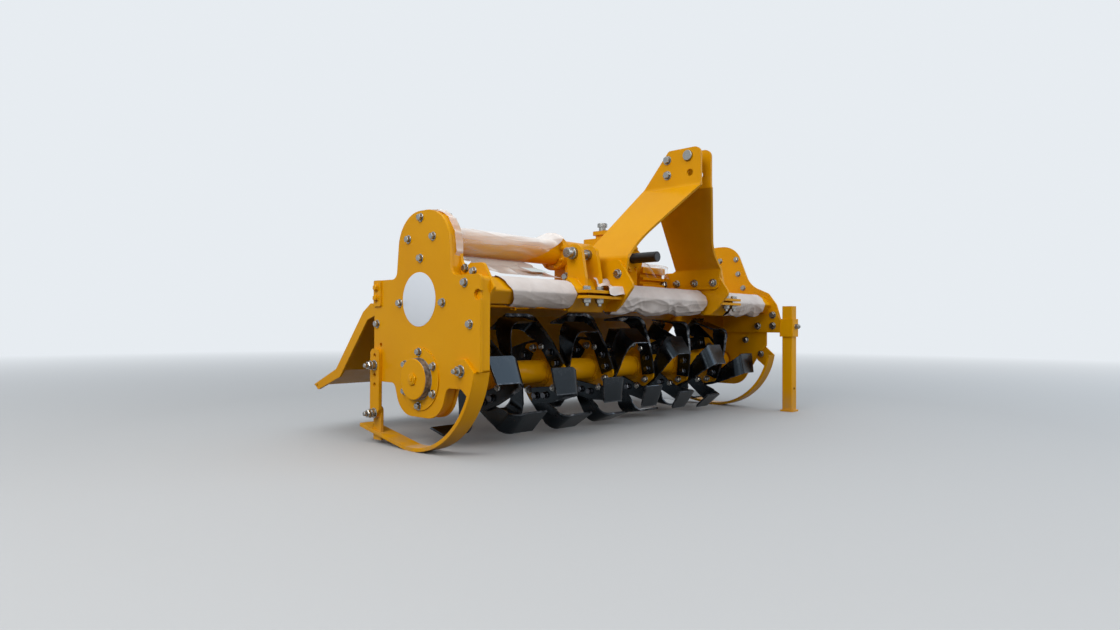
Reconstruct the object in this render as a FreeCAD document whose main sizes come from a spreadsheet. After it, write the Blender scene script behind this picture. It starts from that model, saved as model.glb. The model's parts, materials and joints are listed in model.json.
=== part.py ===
import FreeCAD, Part
import math
import os
import re
import Sketcher
from FreeCAD import Placement, Rotation, Vector

# A rotary tiller for a tractor's three-point linkage, parked on its two skids and its stand.
# X runs across the machine, with the side gear case at -X.
# -Y is the front, where the tractor couples, and Z is up from the ground.
# Heights are above the ground, and depths in Y are taken from the rotor's axis.

os.makedirs("parts", exist_ok=True)
doc = FreeCAD.newDocument("rotary_tiller")

# Driving dimensions in millimetres and degrees: alias, value, meaning.
SIZES = (
    ("rotor_z", 225, "height of the rotor's axis"),
    ("drive_rise", 435, "drive shaft's axis above the rotor's axis"),
    ("half_width", 948, "centre to the outer face of the case cover"),
    ("cover_wall", 10, "case cover's thickness"),
    ("case_depth", 30, "side gear case's depth"),
    ("plate_wall", 10, "end plates' thickness"),
    ("case_inset", 4, "case's edge inside its cover's edge"),
    ("rear_edge", 253, "end plates' rear edge"),
    ("front_edge", 282, "end plates' front edge"),
    ("shoulder_z", 537, "end plates' shoulders"),
    ("shoulder_round", 26, "fillet from shoulder to dome"),
    ("dome_shift", -12, "near dome's middle"),
    ("dome_foot", 139, "near dome's half width at the shoulders"),
    ("dome_half", 119, "near dome's half width at its top"),
    ("dome_z", 744, "top of the near dome"),
    ("dome_round", 112, "near dome's corner radius"),
    ("corner_round", 14, "end plates' corner radius"),
    ("lobe_drop", 118, "lobe's lowest point under the rotor's axis"),
    ("lobe_half", 100, "lobe's half width at its foot"),
    ("lobe_round", 84, "lobe's corner radius"),
    ("lobe_neck", 134, "lobe's half width where it leaves the plate"),
    ("hem_z", 205, "end plates' lower edge"),
    ("hem_round", 22, "fillet from lower edge to lobe"),
    ("notch_y", 244, "lower front notch for the skid"),
    ("notch_z", 258, "height of that notch"),
    ("nose_reach", 294, "tip of the frame plate's nose"),
    ("nose_low", 456, "foot of the nose"),
    ("nose_high", 574, "top of the frame plate's front lug"),
    ("nose_z", 500, "height of the nose's tip"),
    ("nose_crest", 246, "front end of the lug's top"),
    ("nose_root", 188, "rear end of the lug's top"),
    ("nose_back", 258, "frame plate's front edge under the nose"),
    ("step_y", 236, "frame plate's front edge behind the skid"),
    ("step_z", 366, "height where that edge steps back"),
    ("bite_y", 270, "half-round recess in the cover's front edge"),
    ("bite_z", 478, "its height"),
    ("bite_radius", 16, "its radius"),
    ("pad_front", 209, "hinge pad on the cover, front edge"),
    ("pad_rear", 250, "its rear edge"),
    ("pad_low", 451, "its foot"),
    ("pad_wall", 6, "its thickness"),
    ("slot_hole_y", 213, "spare hole in the cover"),
    ("slot_hole_z", 325, "its height"),
    ("slot_hole_radius", 7, "its radius"),
    ("far_dome_z", 790, "top of the far plate's dome"),
    ("far_dome_half", 130, "rear corner of the far dome"),
    ("far_dome_front", 67, "front corner of the far dome"),
    ("far_waist_y", 146, "hollow in the far plate's front edge"),
    ("far_waist_z", 592, "its height"),
    ("far_waist_round", 110, "its radius"),
    ("far_brow_y", 243, "far plate's brow"),
    ("far_brow_z", 550, "its height"),
    ("far_cheek_y", 284, "far plate's cheek"),
    ("far_cheek_z", 496, "its height"),
    ("far_nose_y", 303, "far plate's nose"),
    ("far_dome_round", 100, "far dome's corner radius"),
    ("far_nose_z", 430, "height of the nose"),
    ("far_step_y", 233, "far plate's front edge under its nose"),
    ("far_step_z", 372, "underside of its nose"),
    ("far_shin_z", 300, "foot of that front edge"),
    ("far_hem_y", 190, "far plate's lower front corner"),
    ("far_hem_z", 250, "height of that corner"),
    ("beam_side", 60, "front beam's side, a square tube on its corner"),
    ("beam_wall", 6, "front beam's wall"),
    ("beam_round", 7, "front beam's corner radius"),
    ("beam_y", 217, "front beam ahead of the rotor's axis"),
    ("beam_z", 495, "front beam's height"),
    ("hood_wall", 5, "hood sheet"),
    ("hood_front", 172, "hood's front edge"),
    ("hood_lip_z", 524, "height of the hood's front edge"),
    ("hood_deck_y", 150, "hood's flat deck, to each side of the axis"),
    ("hood_deck_z", 544, "hood's deck"),
    ("hood_rear", 240, "hood's rear edge"),
    ("hood_rear_z", 470, "height of the hood's rear edge"),
    ("tube_radius", 44, "drive shaft's tube"),
    ("tube_wall", 5, "its wall"),
    ("tube_flange_radius", 84, "tube's flange at the end plates"),
    ("box_flange_radius", 64, "tube's flange at the gearbox"),
    ("flange_wall", 12, "tube flanges' thickness"),
    ("box_half", 105, "gearbox body's half width"),
    ("barrel_radius", 50, "gearbox's near trunnion"),
    ("barrel_end", 345, "trunnion's end, where the drive shaft's tube begins"),
    ("blank_reach", 20, "blank cap beyond the gearbox body on the far side"),
    ("box_front", 62, "gearbox body's front face"),
    ("box_rear", 75, "gearbox body's rear face"),
    ("box_top", 738, "gearbox body's top"),
    ("box_round", 24, "gearbox body's corner radius"),
    ("lid_wall", 16, "gearbox lid"),
    ("lid_inset", 30, "lid's edge inside the body's edge"),
    ("lid_neck", 18, "neck under the lid"),
    ("neck_inset", 38, "neck's edge inside the body's edge"),
    ("foot_wall", 12, "gearbox cradle's base plate"),
    ("cradle_end", 300, "centre to the cradle's ends"),
    ("cradle_front", 56, "cradle's front face"),
    ("cradle_rear", 40, "cradle's rear face"),
    ("cradle_top", 640, "cradle's top"),
    ("cradle_groove", 16, "grooves between the cradle's ribs"),
    ("cradle_rib", 12, "cradle's ribs"),
    ("snout_radius", 56, "gearbox's input bearing boss"),
    ("snout_reach", 40, "boss ahead of the gearbox body"),
    ("shaft_radius", 17.4, "input shaft"),
    ("shaft_reach", 221, "input shaft's end"),
    ("shaft_depth", 30, "input shaft's seat behind the boss face"),
    ("cap_radius", 20.5, "input shaft's cap"),
    ("cap_reach", 226, "cap's closed end"),
    ("run_gap", 0.05, "running clearance round a shaft"),
    ("seat_gap", 0.3, "clearance of a loose seat"),
    ("filler_x", -62, "filler cap's place across"),
    ("filler_radius", 20, "filler cap"),
    ("filler_neck", 14, "filler cap's neck"),
    ("filler_rise", 30, "filler cap above the lid"),
    ("breather_inset", 56, "breather inside the near plate"),
    ("breather_radius", 9, "breather's body"),
    ("breather_head", 13, "breather's head"),
    ("breather_rise", 44, "breather above the tube"),
    ("mast_wall", 10, "mast plates' thickness"),
    ("mast_outer", 40, "centre to the mast head's outer face"),
    ("mast_spread", 318, "centre to the mast foot's outer face"),
    ("mast_reach", 440, "mast head's front edge"),
    ("mast_top", 1048, "mast's top"),
    ("mast_head", 143, "mast's upper bend under its top"),
    ("mast_knee_z", 627, "mast's lower bend"),
    ("mast_foot_z", 545, "mast's foot"),
    ("mast_foot_front", 308, "front of the mast's foot"),
    ("mast_foot_rear", 26, "rear of the mast's foot"),
    ("mast_head_rear", 302, "rear of the mast's head"),
    ("mast_neck_rear", 182, "rear edge at the upper bend"),
    ("mast_knee_rear", 106, "rear edge at the lower bend"),
    ("mast_knee_front", 322, "front edge at the lower bend"),
    ("mast_waist", 318, "front edge's hollow"),
    ("waist_rise", 63, "that hollow above the lower bend"),
    ("pin_y", 387, "top link pin ahead of the rotor's axis"),
    ("pin_drop", 29, "top link pin under the mast's top"),
    ("pin_radius", 12.5, "top link pin"),
    ("pin_overhang", 24, "top link pin outside the mast"),
    ("pin_head", 9, "top link pin's head"),
    ("pin_head_radius", 19, "its radius"),
    ("spare_y", 394, "spare top link hole"),
    ("spare_drop", 92, "spare hole under the mast's top"),
    ("spacer_y", 296, "mast spacers"),
    ("spacer_drop", 34, "upper spacer under the mast's top"),
    ("spacer_pitch", 57, "from upper to lower spacer"),
    ("spacer_radius", 15, "spacers"),
    ("spacer_bore", 8.2, "bolt hole through spacers and mast"),
    ("bracket_wall", 12, "bracket plates beside the mast's feet"),
    ("bracket_top", 620, "bracket plates' top"),
    ("bracket_front", 350, "bracket plates' front"),
    ("bracket_front_z", 522, "height of that front corner"),
    ("bracket_rear", 40, "bracket plates' rear"),
    ("bracket_toe", 300, "bracket plates' toe under the beam"),
    ("bracket_toe_z", 462, "height of the toe"),
    ("bracket_keel_z", 440, "bracket plates' lowest edge"),
    ("beam_fit", 0.3, "clearance round the beam"),
    ("ear_wall", 14, "hitch ears' thickness"),
    ("ear_inner", 374, "centre to the inner ear's inner face"),
    ("ear_pitch", 78, "from ear to ear"),
    ("ear_half", 40, "ears' half width at the foot"),
    ("ear_z", 637, "lower link pins' height"),
    ("ear_round", 31, "ears' end radius"),
    ("link_pin_radius", 14, "lower link pins"),
    ("link_pin_head", 12, "their heads"),
    ("link_pin_head_radius", 21, "their heads' radius"),
    ("link_pin_cap", 24, "pins' end outside those heads"),
    ("link_pin_cap_radius", 17, "its radius"),
    ("link_pin_collar", 18, "radius of the collar beside the inner ear"),
    ("saddle_wall", 10, "clamps' thickness"),
    ("saddle_inner", 330, "centre to the clamps' inner end"),
    ("saddle_outer", 511, "centre to the clamps' outer end"),
    ("saddle_lip", 46, "clamp lips ahead of the beam's corner"),
    ("lip_gap", 8, "gap between the clamp lips"),
    ("skid_wide", 60, "skid bar's width"),
    ("skid_wall", 12, "skid bar's thickness"),
    ("skid_front", 267, "skid's front face at its upper end"),
    ("skid_top", 256, "skid's upper end"),
    ("skid_toe", 223, "skid's front face, drawn down to the ground"),
    ("skid_round", 300, "skid's bow"),
    ("skid_flat", 60, "end of the skid's flat sole"),
    ("skid_rear", 320, "skid's rear end"),
    ("skid_lift", 48, "rise of its rear end"),
    ("skid_ear_wall", 10, "skid's ears"),
    ("skid_bolt_y", 209, "skid's front bolt"),
    ("skid_bolt_z", 259, "its height"),
    ("lug_half", 22, "rear lug's half width"),
    ("link_y", 231, "skid link's middle"),
    ("link_half", 26, "skid link's half width"),
    ("link_wall", 12, "skid link's thickness"),
    ("link_low", 101, "lower link bolt"),
    ("link_high", 258, "upper link bolt"),
    ("link_top", 312, "skid link's top"),
    ("link_hole_radius", 7, "skid link's holes"),
    ("link_pitch", 32, "from hole to hole"),
    ("link_round", 18, "link's upper corners"),
    ("link_foot", 12, "link's foot under its lower bolt"),
    ("stand_inset", 32, "stand leg's axis inside the far plate"),
    ("stand_y", 363, "stand leg ahead of the rotor's axis"),
    ("leg_side", 48, "stand leg's square tube"),
    ("leg_wall", 4, "its wall"),
    ("leg_top", 486, "stand leg's top"),
    ("collar_wall", 6, "collar's wall"),
    ("collar_low", 345, "collar's lower edge"),
    ("collar_high", 427, "collar's upper edge"),
    ("arm_wall", 10, "plate that carries the collar"),
    ("arm_low", 363, "its lower edge"),
    ("arm_top", 448, "its upper edge under the beam"),
    ("arm_peak", 466, "its upper edge ahead of the beam"),
    ("arm_rear", 4, "its rear edge, ahead of the rotor's axis"),
    ("collar_gap", 0.5, "clearance round the leg"),
    ("sole_side", 62, "stand's foot plate"),
    ("sole_wall", 8, "its thickness"),
    ("leg_hole_z", 105, "setting hole in the leg"),
    ("leg_hole_radius", 7, "its radius"),
    ("board_half", 940, "tail board's half length"),
    ("board_wall", 5, "tail board's sheet"),
    ("hinge_y", 268, "tail board's hinge behind the rotor's axis"),
    ("hinge_z", 466, "its height"),
    ("hinge_rod", 9, "hinge rod's radius"),
    ("knuckle_wall", 6, "hinge knuckles' wall"),
    ("knuckle_long", 70, "hinge knuckles' length"),
    ("knuckle_pitch", 520, "from knuckle to knuckle"),
    ("lug_wall", 8, "lugs that carry the hinge rod"),
    ("board_brow_y", 336, "tail board's upper crease"),
    ("board_brow_z", 434, "its height"),
    ("board_knee_y", 510, "tail board's lower crease"),
    ("board_knee_z", 232, "its height"),
    ("tail_reach", 663, "tail board's tip"),
    ("board_tip_z", 169, "its height"),
    ("rim_wall", 8, "tail board's end rims"),
    ("rim_depth", 38, "end rims' depth"),
    ("rim_hole", 5, "hole in the rims' tips"),
    ("hub_radius", 63, "hub boss on the end plates"),
    ("hub_reach", 27, "hub boss outside the cover"),
    ("hub_flange_radius", 97, "hub's bolted flange"),
    ("hub_flange_wall", 3, "its thickness"),
    ("plug_radius", 14, "hub's plug"),
    ("plug_rise", 6, "plug outside the boss"),
    ("rotor_radius", 42, "rotor's tube"),
    ("rotor_clear", 16, "rotor's tube short of the end plates"),
    ("journal_radius", 28, "rotor's journals"),
    ("plate_bore", 44, "end plates' hole for the rotor"),
    ("blade_flange_wall", 10, "blade flanges' thickness"),
    ("flange_flat", 106, "hexagonal blade flanges, axis to flat"),
    ("flange_round", 20, "their corner radius"),
    ("flange_collar", 50, "collars on the rotor's tube beside them"),
    ("collar_side", 6, "collars' length on each side"),
    ("blade_pitch", 274, "from blade flange to blade flange"),
    ("blade_wall", 8, "blades' thickness"),
    ("blade_seat", 87, "blade bar's middle line off the rotor's axis"),
    ("blade_lead", 11.5, "angle from a wing to the direction of its bar"),
    ("bar_half", 45, "half of the bar's straight root"),
    ("bar_wide", 60, "bar's width"),
    ("shank_reach", 100, "start of the shank along the bar"),
    ("shank_drift", 7, "bar's shift at that place"),
    ("neck_reach", 148, "neck along the bar"),
    ("neck_wide", 76, "blade's width at the neck"),
    ("neck_drift", 24, "bar's shift at the neck"),
    ("wing_place", 192, "wing's mid thickness along the bar"),
    ("wing_bend", 36, "bend into the wing, to mid thickness"),
    ("wing_wide", 92, "wing's width"),
    ("wing_drift", 45, "wing's shift from the bar's middle line"),
    ("wing_reach", 148, "wing's free end beside its flange's middle"),
    ("wing_skew", 14, "by which the cutting edge ends short of it"),
    ("wing_bevel", 8, "ground strip along the cutting edge"),
    ("first_wing", 9, "angle of the first flange's left-hand wing above the front"),
    ("helix_step", 14, "angle by which each flange lags the one before"),
    ("foam_wall", 3, "packing on the beam"),
    ("film_wall", 2, "packing on the tube"),
    ("foam_end", 70, "foam short of the end plates"),
    ("film_end", 68, "film short of the end plate"),
)

# What follows from the driving dimensions.
RULES = {
    "axis_y": "(mast_reach - tail_reach) / 2",
    "drive_z": "rotor_z + drive_rise",
    "case_outer": "half_width - cover_wall",
    "frame_outer": "half_width - cover_wall - case_depth",
    "frame_inner": "half_width - cover_wall - case_depth - plate_wall",
    "beam_half": "beam_side / sqrt(2)",
    "box_low": "hood_deck_z + foot_wall",
    "lid_foot": "box_top + lid_neck",
    "lid_top": "box_top + lid_neck + lid_wall",
    "hub_face": "half_width + hub_reach",
    "mast_bend_z": "mast_top - mast_head",
    "mast_waist_z": "mast_knee_z + waist_rise",
    "pin_z": "mast_top - pin_drop",
    "spare_z": "mast_top - spare_drop",
    "spacer_high": "mast_top - spacer_drop",
    "spacer_low": "mast_top - spacer_drop - spacer_pitch",
    "stand_x": "frame_inner - stand_inset",
    "breather_x": "breather_inset - frame_inner",
    "clamp_reach": "beam_half + beam_fit * sqrt(2)",
    "clamp_crest": "beam_z + clamp_reach + saddle_wall * sqrt(2)",
    "ear_y": "axis_y - beam_y + corner_round",
    "pin_seat": "ear_inner + ear_pitch + ear_wall + seat_gap",
    "blade_aside": "(blade_flange_wall + blade_wall) / 2",
    "flange_corner": "flange_flat / cos(30)",
}

sheet = doc.addObject("Spreadsheet::Sheet", "Sizes")
sheet.Label = "driving dimensions"
for row, (alias, value, meaning) in enumerate(SIZES, start=1):
    sheet.set("A%d" % row, meaning)
    sheet.set("B%d" % row, str(value))
    sheet.setAlias("B%d" % row, alias)
doc.recompute()
NAMES = {alias for alias, value, meaning in SIZES}
NODES = []


def bound(rule):
    """A rule in plain size names, with each name pointing at its cell."""
    def cell(match):
        name = match.group()
        if name in RULES:
            return "(" + bound(RULES[name]) + ")"
        return "Sizes." + name if name in NAMES else name
    return re.sub(r"[a-z][a-z_]*", cell, str(rule))


def size(rule):
    """The number that a rule gives."""
    return float(sheet.evalExpression(bound(rule)))


def node(thing, label):
    """Keep a finished object as a node of its own."""
    thing.Label = label
    NODES.append(thing)
    return thing


def new_body(name):
    return doc.addObject("PartDesign::Body", name)


def hold(sketch, element, rules, point=1):
    """Fix one point of an element at a place that the sheet gives."""
    for axis, rule in zip("XY", rules):
        place = size(rule)
        number = sketch.addConstraint(Sketcher.Constraint("Distance" + axis, -1, 1, element, point, place))
        sketch.setExpression("Constraints[%d]" % number, bound(rule))


def draw_circle(sketch, centre, radius):
    """Draw a circle held by its centre and radius."""
    middle = Vector(size(centre[0]), size(centre[1]), 0)
    ring = sketch.addGeometry(Part.Circle(middle, Vector(0, 0, 1), size(radius)))
    hold(sketch, ring, centre, 3)
    number = sketch.addConstraint(Sketcher.Constraint("Radius", ring, size(radius)))
    sketch.setExpression("Constraints[%d]" % number, bound(radius))


def draw_outline(sketch, corners):
    """Draw a closed outline. Each corner is (u, v) or (u, v, rounding radius)."""
    spots = [Vector(size(corner[0]), size(corner[1]), 0) for corner in corners]
    count = len(spots)
    cuts = []
    for index, corner in enumerate(corners):
        here, before, after = spots[index], spots[index - 1], spots[(index + 1) % count]
        radius = size(corner[2]) if len(corner) > 2 else 0
        back = (before - here).normalize()
        ahead = (after - here).normalize()
        reach = radius / tan_half(back, ahead) if radius else 0
        cuts.append((here + back * reach, here + ahead * reach, radius))
    lines = []
    for index in range(count):
        start, end = cuts[index][1], cuts[(index + 1) % count][0]
        lines.append(sketch.addGeometry(Part.LineSegment(start, end)))
    for index, corner in enumerate(corners):
        into, out = lines[index - 1], lines[index]
        enter, leave, radius = cuts[index]
        if not radius:
            sketch.addConstraint(Sketcher.Constraint("Coincident", into, 2, out, 1))
            hold(sketch, out, corner)
            continue
        here = spots[index]
        bisector = ((enter - here) + (leave - here)).normalize()
        centre = here + bisector * ((enter - here).Length ** 2 + radius ** 2) ** 0.5
        crown = centre - bisector * radius
        arc = sketch.addGeometry(Part.Arc(enter, crown, leave))
        first, last = (1, 2) if sketch.getPoint(arc, 1).distanceToPoint(enter) < 0.001 else (2, 1)
        mark = sketch.addGeometry(Part.Point(here), True)
        sketch.addConstraint(Sketcher.Constraint("Tangent", into, 2, arc, first))
        sketch.addConstraint(Sketcher.Constraint("Tangent", out, 1, arc, last))
        sketch.addConstraint(Sketcher.Constraint("PointOnObject", mark, 1, into))
        sketch.addConstraint(Sketcher.Constraint("PointOnObject", mark, 1, out))
        number = sketch.addConstraint(Sketcher.Constraint("Radius", arc, radius))
        sketch.setExpression("Constraints[%d]" % number, bound(corner[2]))
        hold(sketch, mark, corner)


def tan_half(one, other):
    """Tangent of half the angle between two unit vectors."""
    cosine = max(-1, min(1, one.dot(other)))
    return ((1 - cosine) / (1 + cosine)) ** 0.5


def new_sketch(body, plane, level, shift=("0", "0")):
    """A sketch on one of the body's own origin planes, moved along its normal."""
    sketch = body.newObject("Sketcher::SketchObject", "Sketch")
    base = [part for part in body.Origin.OriginFeatures if part.Role == plane + "_Plane"][0]
    sketch.AttachmentSupport = [(base, "")]
    sketch.MapMode = "FlatFace"
    sketch.setExpression("AttachmentOffset.Base.x", bound(shift[0]))
    sketch.setExpression("AttachmentOffset.Base.y", bound(shift[1]))
    sketch.setExpression("AttachmentOffset.Base.z", bound(level))
    return sketch


def slab(body, plane, low, high, corners=None, rings=(), loops=(), cut=False):
    """Pad, or pocket, a profile from low to high along the axis square to its plane.

    corners is the outline, rings are circles (u, v, radius) and loops are inner outlines.
    """
    away = plane == "XZ"
    start = (high if cut else low) if not away else (low if cut else high)
    level = "-(%s)" % start if away else start
    sketch = new_sketch(body, plane, level)
    if corners:
        draw_outline(sketch, corners)
    for loop in loops:
        draw_outline(sketch, loop)
    for across, up, radius in rings:
        draw_circle(sketch, (across, up), radius)
    kind = "PartDesign::Pocket" if cut else "PartDesign::Pad"
    feature = body.newObject(kind, "Cut" if cut else "Pad")
    feature.Profile = sketch
    feature.setExpression("Length", bound("(%s) - (%s)" % (high, low)))
    return feature


def turned(body, along, centre, profile, cut=False):
    """Revolve a profile of (place along the axis, radius) corners about an axis at centre."""
    if along == "X":
        sketch = new_sketch(body, "XZ", "-(%s)" % centre[0], ("0", centre[1]))
        axis = "H_Axis"
    elif along == "Y":
        sketch = new_sketch(body, "YZ", centre[0], ("0", centre[1]))
        axis = "H_Axis"
    else:
        sketch = new_sketch(body, "XZ", "-(%s)" % centre[1], (centre[0], "0"))
        axis = "V_Axis"
    corners = [corner if along != "Z" else (corner[1], corner[0]) + corner[2:] for corner in profile]
    draw_outline(sketch, corners)
    feature = body.newObject("PartDesign::Groove" if cut else "PartDesign::Revolution", "Turn")
    feature.Profile = sketch
    feature.ReferenceAxis = (sketch, [axis])
    feature.Angle = 360
    return feature


def sided(sign, inner, outer):
    """The low and high X of a span on one side of the machine."""
    if sign > 0:
        return inner, outer
    return "-(%s)" % outer, "-(%s)" % inner


def behind(depth):
    """Y of a place behind the rotor's axis."""
    return "axis_y + (%s)" % depth


def ahead(depth):
    """Y of a place ahead of the rotor's axis."""
    return "axis_y - (%s)" % depth


def pack_together(label, things):
    """Several like solids of one body as one node."""
    group = doc.addObject("Part::Compound", label)
    group.Links = things
    return node(group, label)


SIDES = (("near", -1), ("far", 1))


def near_outline(inset="0"):
    """Case cover's outline: dome, shoulders, straight edges and the lobe round the rotor's hub."""
    shrink = " - (%s)" % inset
    return [
        (ahead("front_edge" + shrink), "shoulder_z" + shrink, "corner_round"),
        (ahead("dome_foot - dome_shift" + shrink), "shoulder_z" + shrink, "shoulder_round"),
        (ahead("dome_half - dome_shift" + shrink), "dome_z" + shrink, "dome_round"),
        (behind("dome_half + dome_shift" + shrink), "dome_z" + shrink, "dome_round"),
        (behind("dome_foot + dome_shift" + shrink), "shoulder_z" + shrink, "shoulder_round"),
        (behind("rear_edge" + shrink), "shoulder_z" + shrink, "corner_round"),
        (behind("rear_edge" + shrink), "hem_z + (%s)" % inset, "corner_round"),
        (behind("lobe_neck" + shrink), "hem_z + (%s)" % inset, "hem_round"),
        (behind("lobe_half" + shrink), "rotor_z - lobe_drop + (%s)" % inset, "lobe_round"),
        (ahead("lobe_half" + shrink), "rotor_z - lobe_drop + (%s)" % inset, "lobe_round"),
        (ahead("lobe_neck" + shrink), "hem_z + (%s)" % inset, "hem_round"),
        (ahead("notch_y - corner_round" + shrink), "hem_z + (%s)" % inset),
        (ahead("notch_y" + shrink), "notch_z + (%s)" % inset),
        (ahead("front_edge" + shrink), "notch_z + (%s)" % inset),
    ]


def near_end():
    """Cover, gear case and frame plate on the driven side, with the hub boss."""
    cover = new_body("CaseCover")
    slab(cover, "YZ", "-half_width", "-case_outer", near_outline(), [
        ("axis_y", "rotor_z", "plate_bore"),
        (behind("slot_hole_y"), "slot_hole_z", "slot_hole_radius"),
    ])
    slab(cover, "YZ", "-half_width", "-case_outer",
         rings=[(ahead("bite_y"), "bite_z", "bite_radius")], cut=True)
    slab(cover, "YZ", "-half_width - pad_wall", "-half_width", [
        (behind("pad_front"), "pad_low", "pad_wall"),
        (behind("pad_rear"), "pad_low", "pad_wall"),
        (behind("pad_rear"), "shoulder_z", "pad_wall"),
        (behind("pad_front"), "shoulder_z", "pad_wall"),
    ])
    node(cover, "near_case_cover")
    case = new_body("GearCase")
    slab(case, "YZ", "-case_outer", "-frame_outer", near_outline("case_inset"),
         [("axis_y", "rotor_z", "journal_radius + run_gap")])
    node(case, "near_gear_case")
    plate = new_body("NearPlate")
    slab(plate, "YZ", "-frame_outer", "-frame_inner", [
        (ahead("nose_root"), "nose_high", "corner_round"),
        (ahead("nose_crest"), "nose_high", "corner_round * 1.5"),
        (ahead("nose_reach"), "nose_z", "corner_round / 2"),
        (ahead("nose_back"), "nose_low"),
        (ahead("nose_back"), "step_z"),
        (ahead("step_y"), "step_z"),
        (ahead("step_y"), "notch_z"),
        (ahead("notch_y - corner_round"), "hem_z"),
    ] + near_outline()[10:0:-1], [("axis_y", "rotor_z", "plate_bore")])
    node(plate, "near_frame_plate")
    hub = new_body("NearHub")
    turned(hub, "X", ("axis_y", "rotor_z"), [
        ("-half_width", "0"),
        ("-half_width", "hub_flange_radius"),
        ("-half_width - hub_flange_wall", "hub_flange_radius"),
        ("-half_width - hub_flange_wall", "hub_radius"),
        ("-hub_face", "hub_radius", "2"),
        ("-hub_face", "plug_radius"),
        ("-hub_face - plug_rise", "plug_radius"),
        ("-hub_face - plug_rise", "0"),
    ])
    node(hub, "near_hub_boss")


def far_end():
    """Frame plate and bearing hub on the other side."""
    plate = new_body("FarPlate")
    outline = [
        (ahead("far_hem_y"), "far_hem_z"),
        (ahead("far_step_y"), "far_shin_z"),
        (ahead("far_step_y"), "far_step_z"),
        (ahead("far_nose_y"), "far_step_z"),
        (ahead("far_nose_y"), "far_nose_z", "corner_round"),
        (ahead("far_cheek_y"), "far_cheek_z", "corner_round * 3"),
        (ahead("far_brow_y"), "far_brow_z", "corner_round * 2"),
        (ahead("far_waist_y"), "far_waist_z", "far_waist_round"),
        (ahead("far_dome_front"), "far_dome_z", "far_dome_round"),
        (behind("far_dome_half"), "far_dome_z", "far_dome_round"),
        (behind("far_dome_half"), "shoulder_z", "shoulder_round"),
        (behind("rear_edge"), "shoulder_z", "corner_round"),
        (behind("rear_edge"), "hem_z", "corner_round"),
        (behind("lobe_neck"), "hem_z", "hem_round"),
        (behind("lobe_half"), "rotor_z - lobe_drop", "lobe_round"),
        (ahead("lobe_half"), "rotor_z - lobe_drop", "lobe_round"),
    ]
    slab(plate, "YZ", "frame_inner", "frame_outer", outline, [("axis_y", "rotor_z", "plate_bore")])
    node(plate, "far_frame_plate")
    hub = new_body("FarHub")
    turned(hub, "X", ("axis_y", "rotor_z"), [
        ("frame_outer", "journal_radius + run_gap"),
        ("frame_outer", "hub_flange_radius"),
        ("frame_outer + plate_wall", "hub_flange_radius", "2"),
        ("frame_outer + plate_wall", "hub_radius + cover_wall"),
        ("hub_face", "hub_radius", "4"),
        ("hub_face", "0"),
        ("half_width", "0"),
        ("half_width", "journal_radius + run_gap"),
    ])
    node(hub, "far_hub")


def diamond(side, rounding):
    """A square on its corner about the front beam's axis."""
    half = "(%s) / sqrt(2)" % side
    return [
        (ahead("beam_y + " + half), "beam_z", rounding),
        (ahead("beam_y"), "beam_z + " + half, rounding),
        (ahead("beam_y - " + half), "beam_z", rounding),
        (ahead("beam_y"), "beam_z - " + half, rounding),
    ]


def frame_beams():
    """Front beam and hood between the end plates."""
    beam = new_body("FrontBeam")
    slab(beam, "YZ", "-frame_inner", "frame_inner", diamond("beam_side", "beam_round"),
         loops=[diamond("beam_side - 2 * beam_wall", "beam_round / 2")])
    node(beam, "front_beam")
    hood = new_body("Hood")
    slab(hood, "YZ", "-frame_inner", "frame_inner", [
        (ahead("hood_front"), "hood_lip_z"),
        (ahead("hood_deck_y"), "hood_deck_z"),
        (behind("hood_deck_y"), "hood_deck_z"),
        (behind("hood_rear"), "hood_rear_z"),
        (behind("hood_rear - hood_wall"), "hood_rear_z - hood_wall / 2"),
        (behind("hood_deck_y - hood_wall / 2"), "hood_deck_z - hood_wall"),
        (ahead("hood_deck_y - hood_wall / 2"), "hood_deck_z - hood_wall"),
        (ahead("hood_front - hood_wall / 2"), "hood_lip_z - hood_wall"),
    ])
    node(hood, "hood")


def drive_tube():
    """Tube that houses the drive shaft, from the gearbox's trunnion to the near end plate."""
    tube = new_body("DriveTube")
    turned(tube, "X", ("axis_y", "drive_z"), [
        ("-barrel_end", "tube_radius - tube_wall"),
        ("-barrel_end", "box_flange_radius", "2"),
        ("-barrel_end - flange_wall", "box_flange_radius", "2"),
        ("-barrel_end - flange_wall", "tube_radius"),
        ("-frame_inner + flange_wall", "tube_radius"),
        ("-frame_inner + flange_wall", "tube_flange_radius", "2"),
        ("-frame_inner", "tube_flange_radius"),
        ("-frame_inner", "tube_radius - tube_wall"),
    ])
    node(tube, "drive_tube")


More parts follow.
